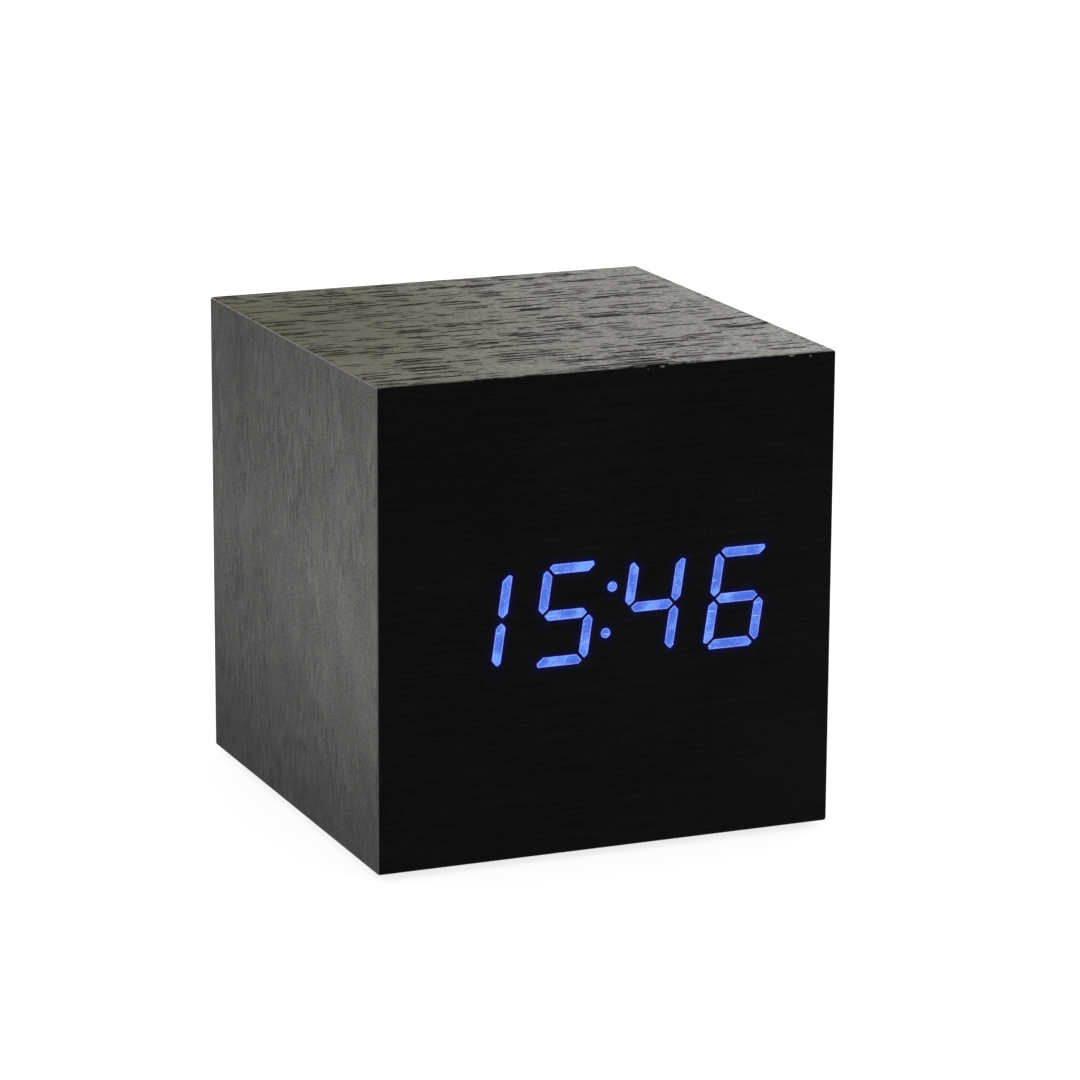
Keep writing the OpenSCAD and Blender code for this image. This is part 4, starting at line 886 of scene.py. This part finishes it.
def smoothRoute(points, steps):
    # smooth curve through all the points
    spots = [Vector(p) * mm for p in points]
    route = []
    for i in range(len(spots) - 1):
        b, c = spots[i], spots[i + 1]
        before = (c - spots[max(i - 1, 0)]) / 2
        after = (spots[min(i + 2, len(spots) - 1)] - b) / 2
        for k in range(steps):
            s = k / steps
            route.append((2 * s**3 - 3 * s**2 + 1) * b + (s**3 - 2 * s**2 + s) * before
                         + (3 * s**2 - 2 * s**3) * c + (s**3 - s**2) * after)
    return route + [spots[-1]]


for node, side in springSides.items():
    makeSpring(node, side)
for node, lead in leads.items():
    route = smoothRoute(lead["points"], leadWire["steps"])
    piece = wirePiece(lead["name"], route, leadWire["thickness"] * mm)
    dress(piece, finishes[lead["slot"]], node)
print("springs and leads wound")

# Inside: cells, and finishes on what stays as it is

cellForm = {"ease": 0.2, "nubSides": {"cell_1": -1, "cell_2": 1, "cell_3": -1}}
for node, side in cellForm["nubSides"].items():
    piece = copyNode(node, "cell" + node[-1])
    easeEdges(piece, cellForm["ease"])
    smooth(piece)
    dress(piece, makeCellJacket(node, side), node)

for row in frame["record"]["subparts"]:
    node = nodes[row["node"]]
    if not node.hide_render:
        node.data.materials.clear()
        node.data.materials.append(finishes[row["material_slot"]])
print("inside finished")

# Studio: pale floor, white surroundings, soft lamps and the camera

studio = {
    "floorSize": 12.0, "floorDiffuse": 0.3, "floorLift": 0.82, "ambient": 0.42,
    "lamps": {
        "overheadSoftbox": {"place": (0.15, 0.25, 1.0), "size": 0.9, "power": 5.0},
        "leftSoftbox": {"place": (-0.9, -0.2, 0.45), "size": 0.7, "power": 4.0},
        "frontFill": {"place": (0.7, -0.9, 0.6), "size": 0.8, "power": 2.5},
        "backRightSoftbox": {"place": (0.62, 0.62, 0.25), "size": 0.4, "power": 4.0},
    },
}
photoView = {
    "place": (-0.24749, -0.59493, 0.19786), "yaw": -22.92, "pitch": 14.0, "roll": 0.31, "lens": 154.15,
}


def seenDirectly(tree):
    # camera, mirror and glass rays show the white surroundings
    path = add(tree, "LightPath", {}).node.outputs
    either = calc(tree, "MAXIMUM", path["Is Camera Ray"], path["Is Glossy Ray"])
    return calc(tree, "MAXIMUM", either, path["Is Transmission Ray"])


def makeFloor():
    bpy.ops.object.select_all(action="DESELECT")
    bpy.ops.mesh.primitive_plane_add(size=studio["floorSize"])
    floor = bpy.context.object
    floor.name = "paleFloor"
    material = bpy.data.materials.new("paleFloor")
    material.use_nodes = True
    tree = material.node_tree
    tree.nodes.remove(tree.nodes["Principled BSDF"])
    paper = add(tree, "BsdfDiffuse", {"Color": (studio["floorDiffuse"],) * 3 + (1,)})
    lift = calc(tree, "MULTIPLY", seenDirectly(tree), studio["floorLift"])
    white = add(tree, "Emission", {"Strength": lift})
    both = add(tree, "AddShader", {0: paper, 1: white})
    tree.links.new(both, tree.nodes["Material Output"].inputs["Surface"])
    floor.data.materials.append(material)


def makeWorld():
    world = bpy.data.worlds.new("studio")
    bpy.context.scene.world = world
    world.use_nodes = True
    tree = world.node_tree
    sky = tree.nodes["Background"]
    sky.inputs["Color"].default_value = (1, 1, 1, 1)
    level = span(tree, seenDirectly(tree), 0.0, 1.0, studio["ambient"], 1.0)
    tree.links.new(level, sky.inputs["Strength"])


def makeLamps():
    for name, lamp in studio["lamps"].items():
        light = bpy.data.lights.new(name, "AREA")
        light.energy = lamp["power"]
        light.size = lamp["size"]
        holder = bpy.data.objects.new(name, light)
        bpy.context.scene.collection.objects.link(holder)
        holder.location = lamp["place"]
        holder.rotation_euler = (caseMid - holder.location).to_track_quat("-Z", "Y").to_euler()


def placeCamera():
    camera = bpy.data.objects.new("photoCamera", bpy.data.cameras.new("photoCamera"))
    bpy.context.scene.collection.objects.link(camera)
    camera.data.lens = photoView["lens"]
    turn = (Matrix.Rotation(radians(photoView["yaw"]), 3, "Z")
            @ Matrix.Rotation(radians(90 - photoView["pitch"]), 3, "X")
            @ Matrix.Rotation(radians(photoView["roll"]), 3, "Z"))
    camera.rotation_euler = turn.to_euler()
    camera.location = photoView["place"]
    bpy.context.scene.camera = camera


makeFloor()
makeWorld()
makeLamps()
placeCamera()
bpy.context.scene.view_settings.view_transform = "Standard"
print("studio lit")
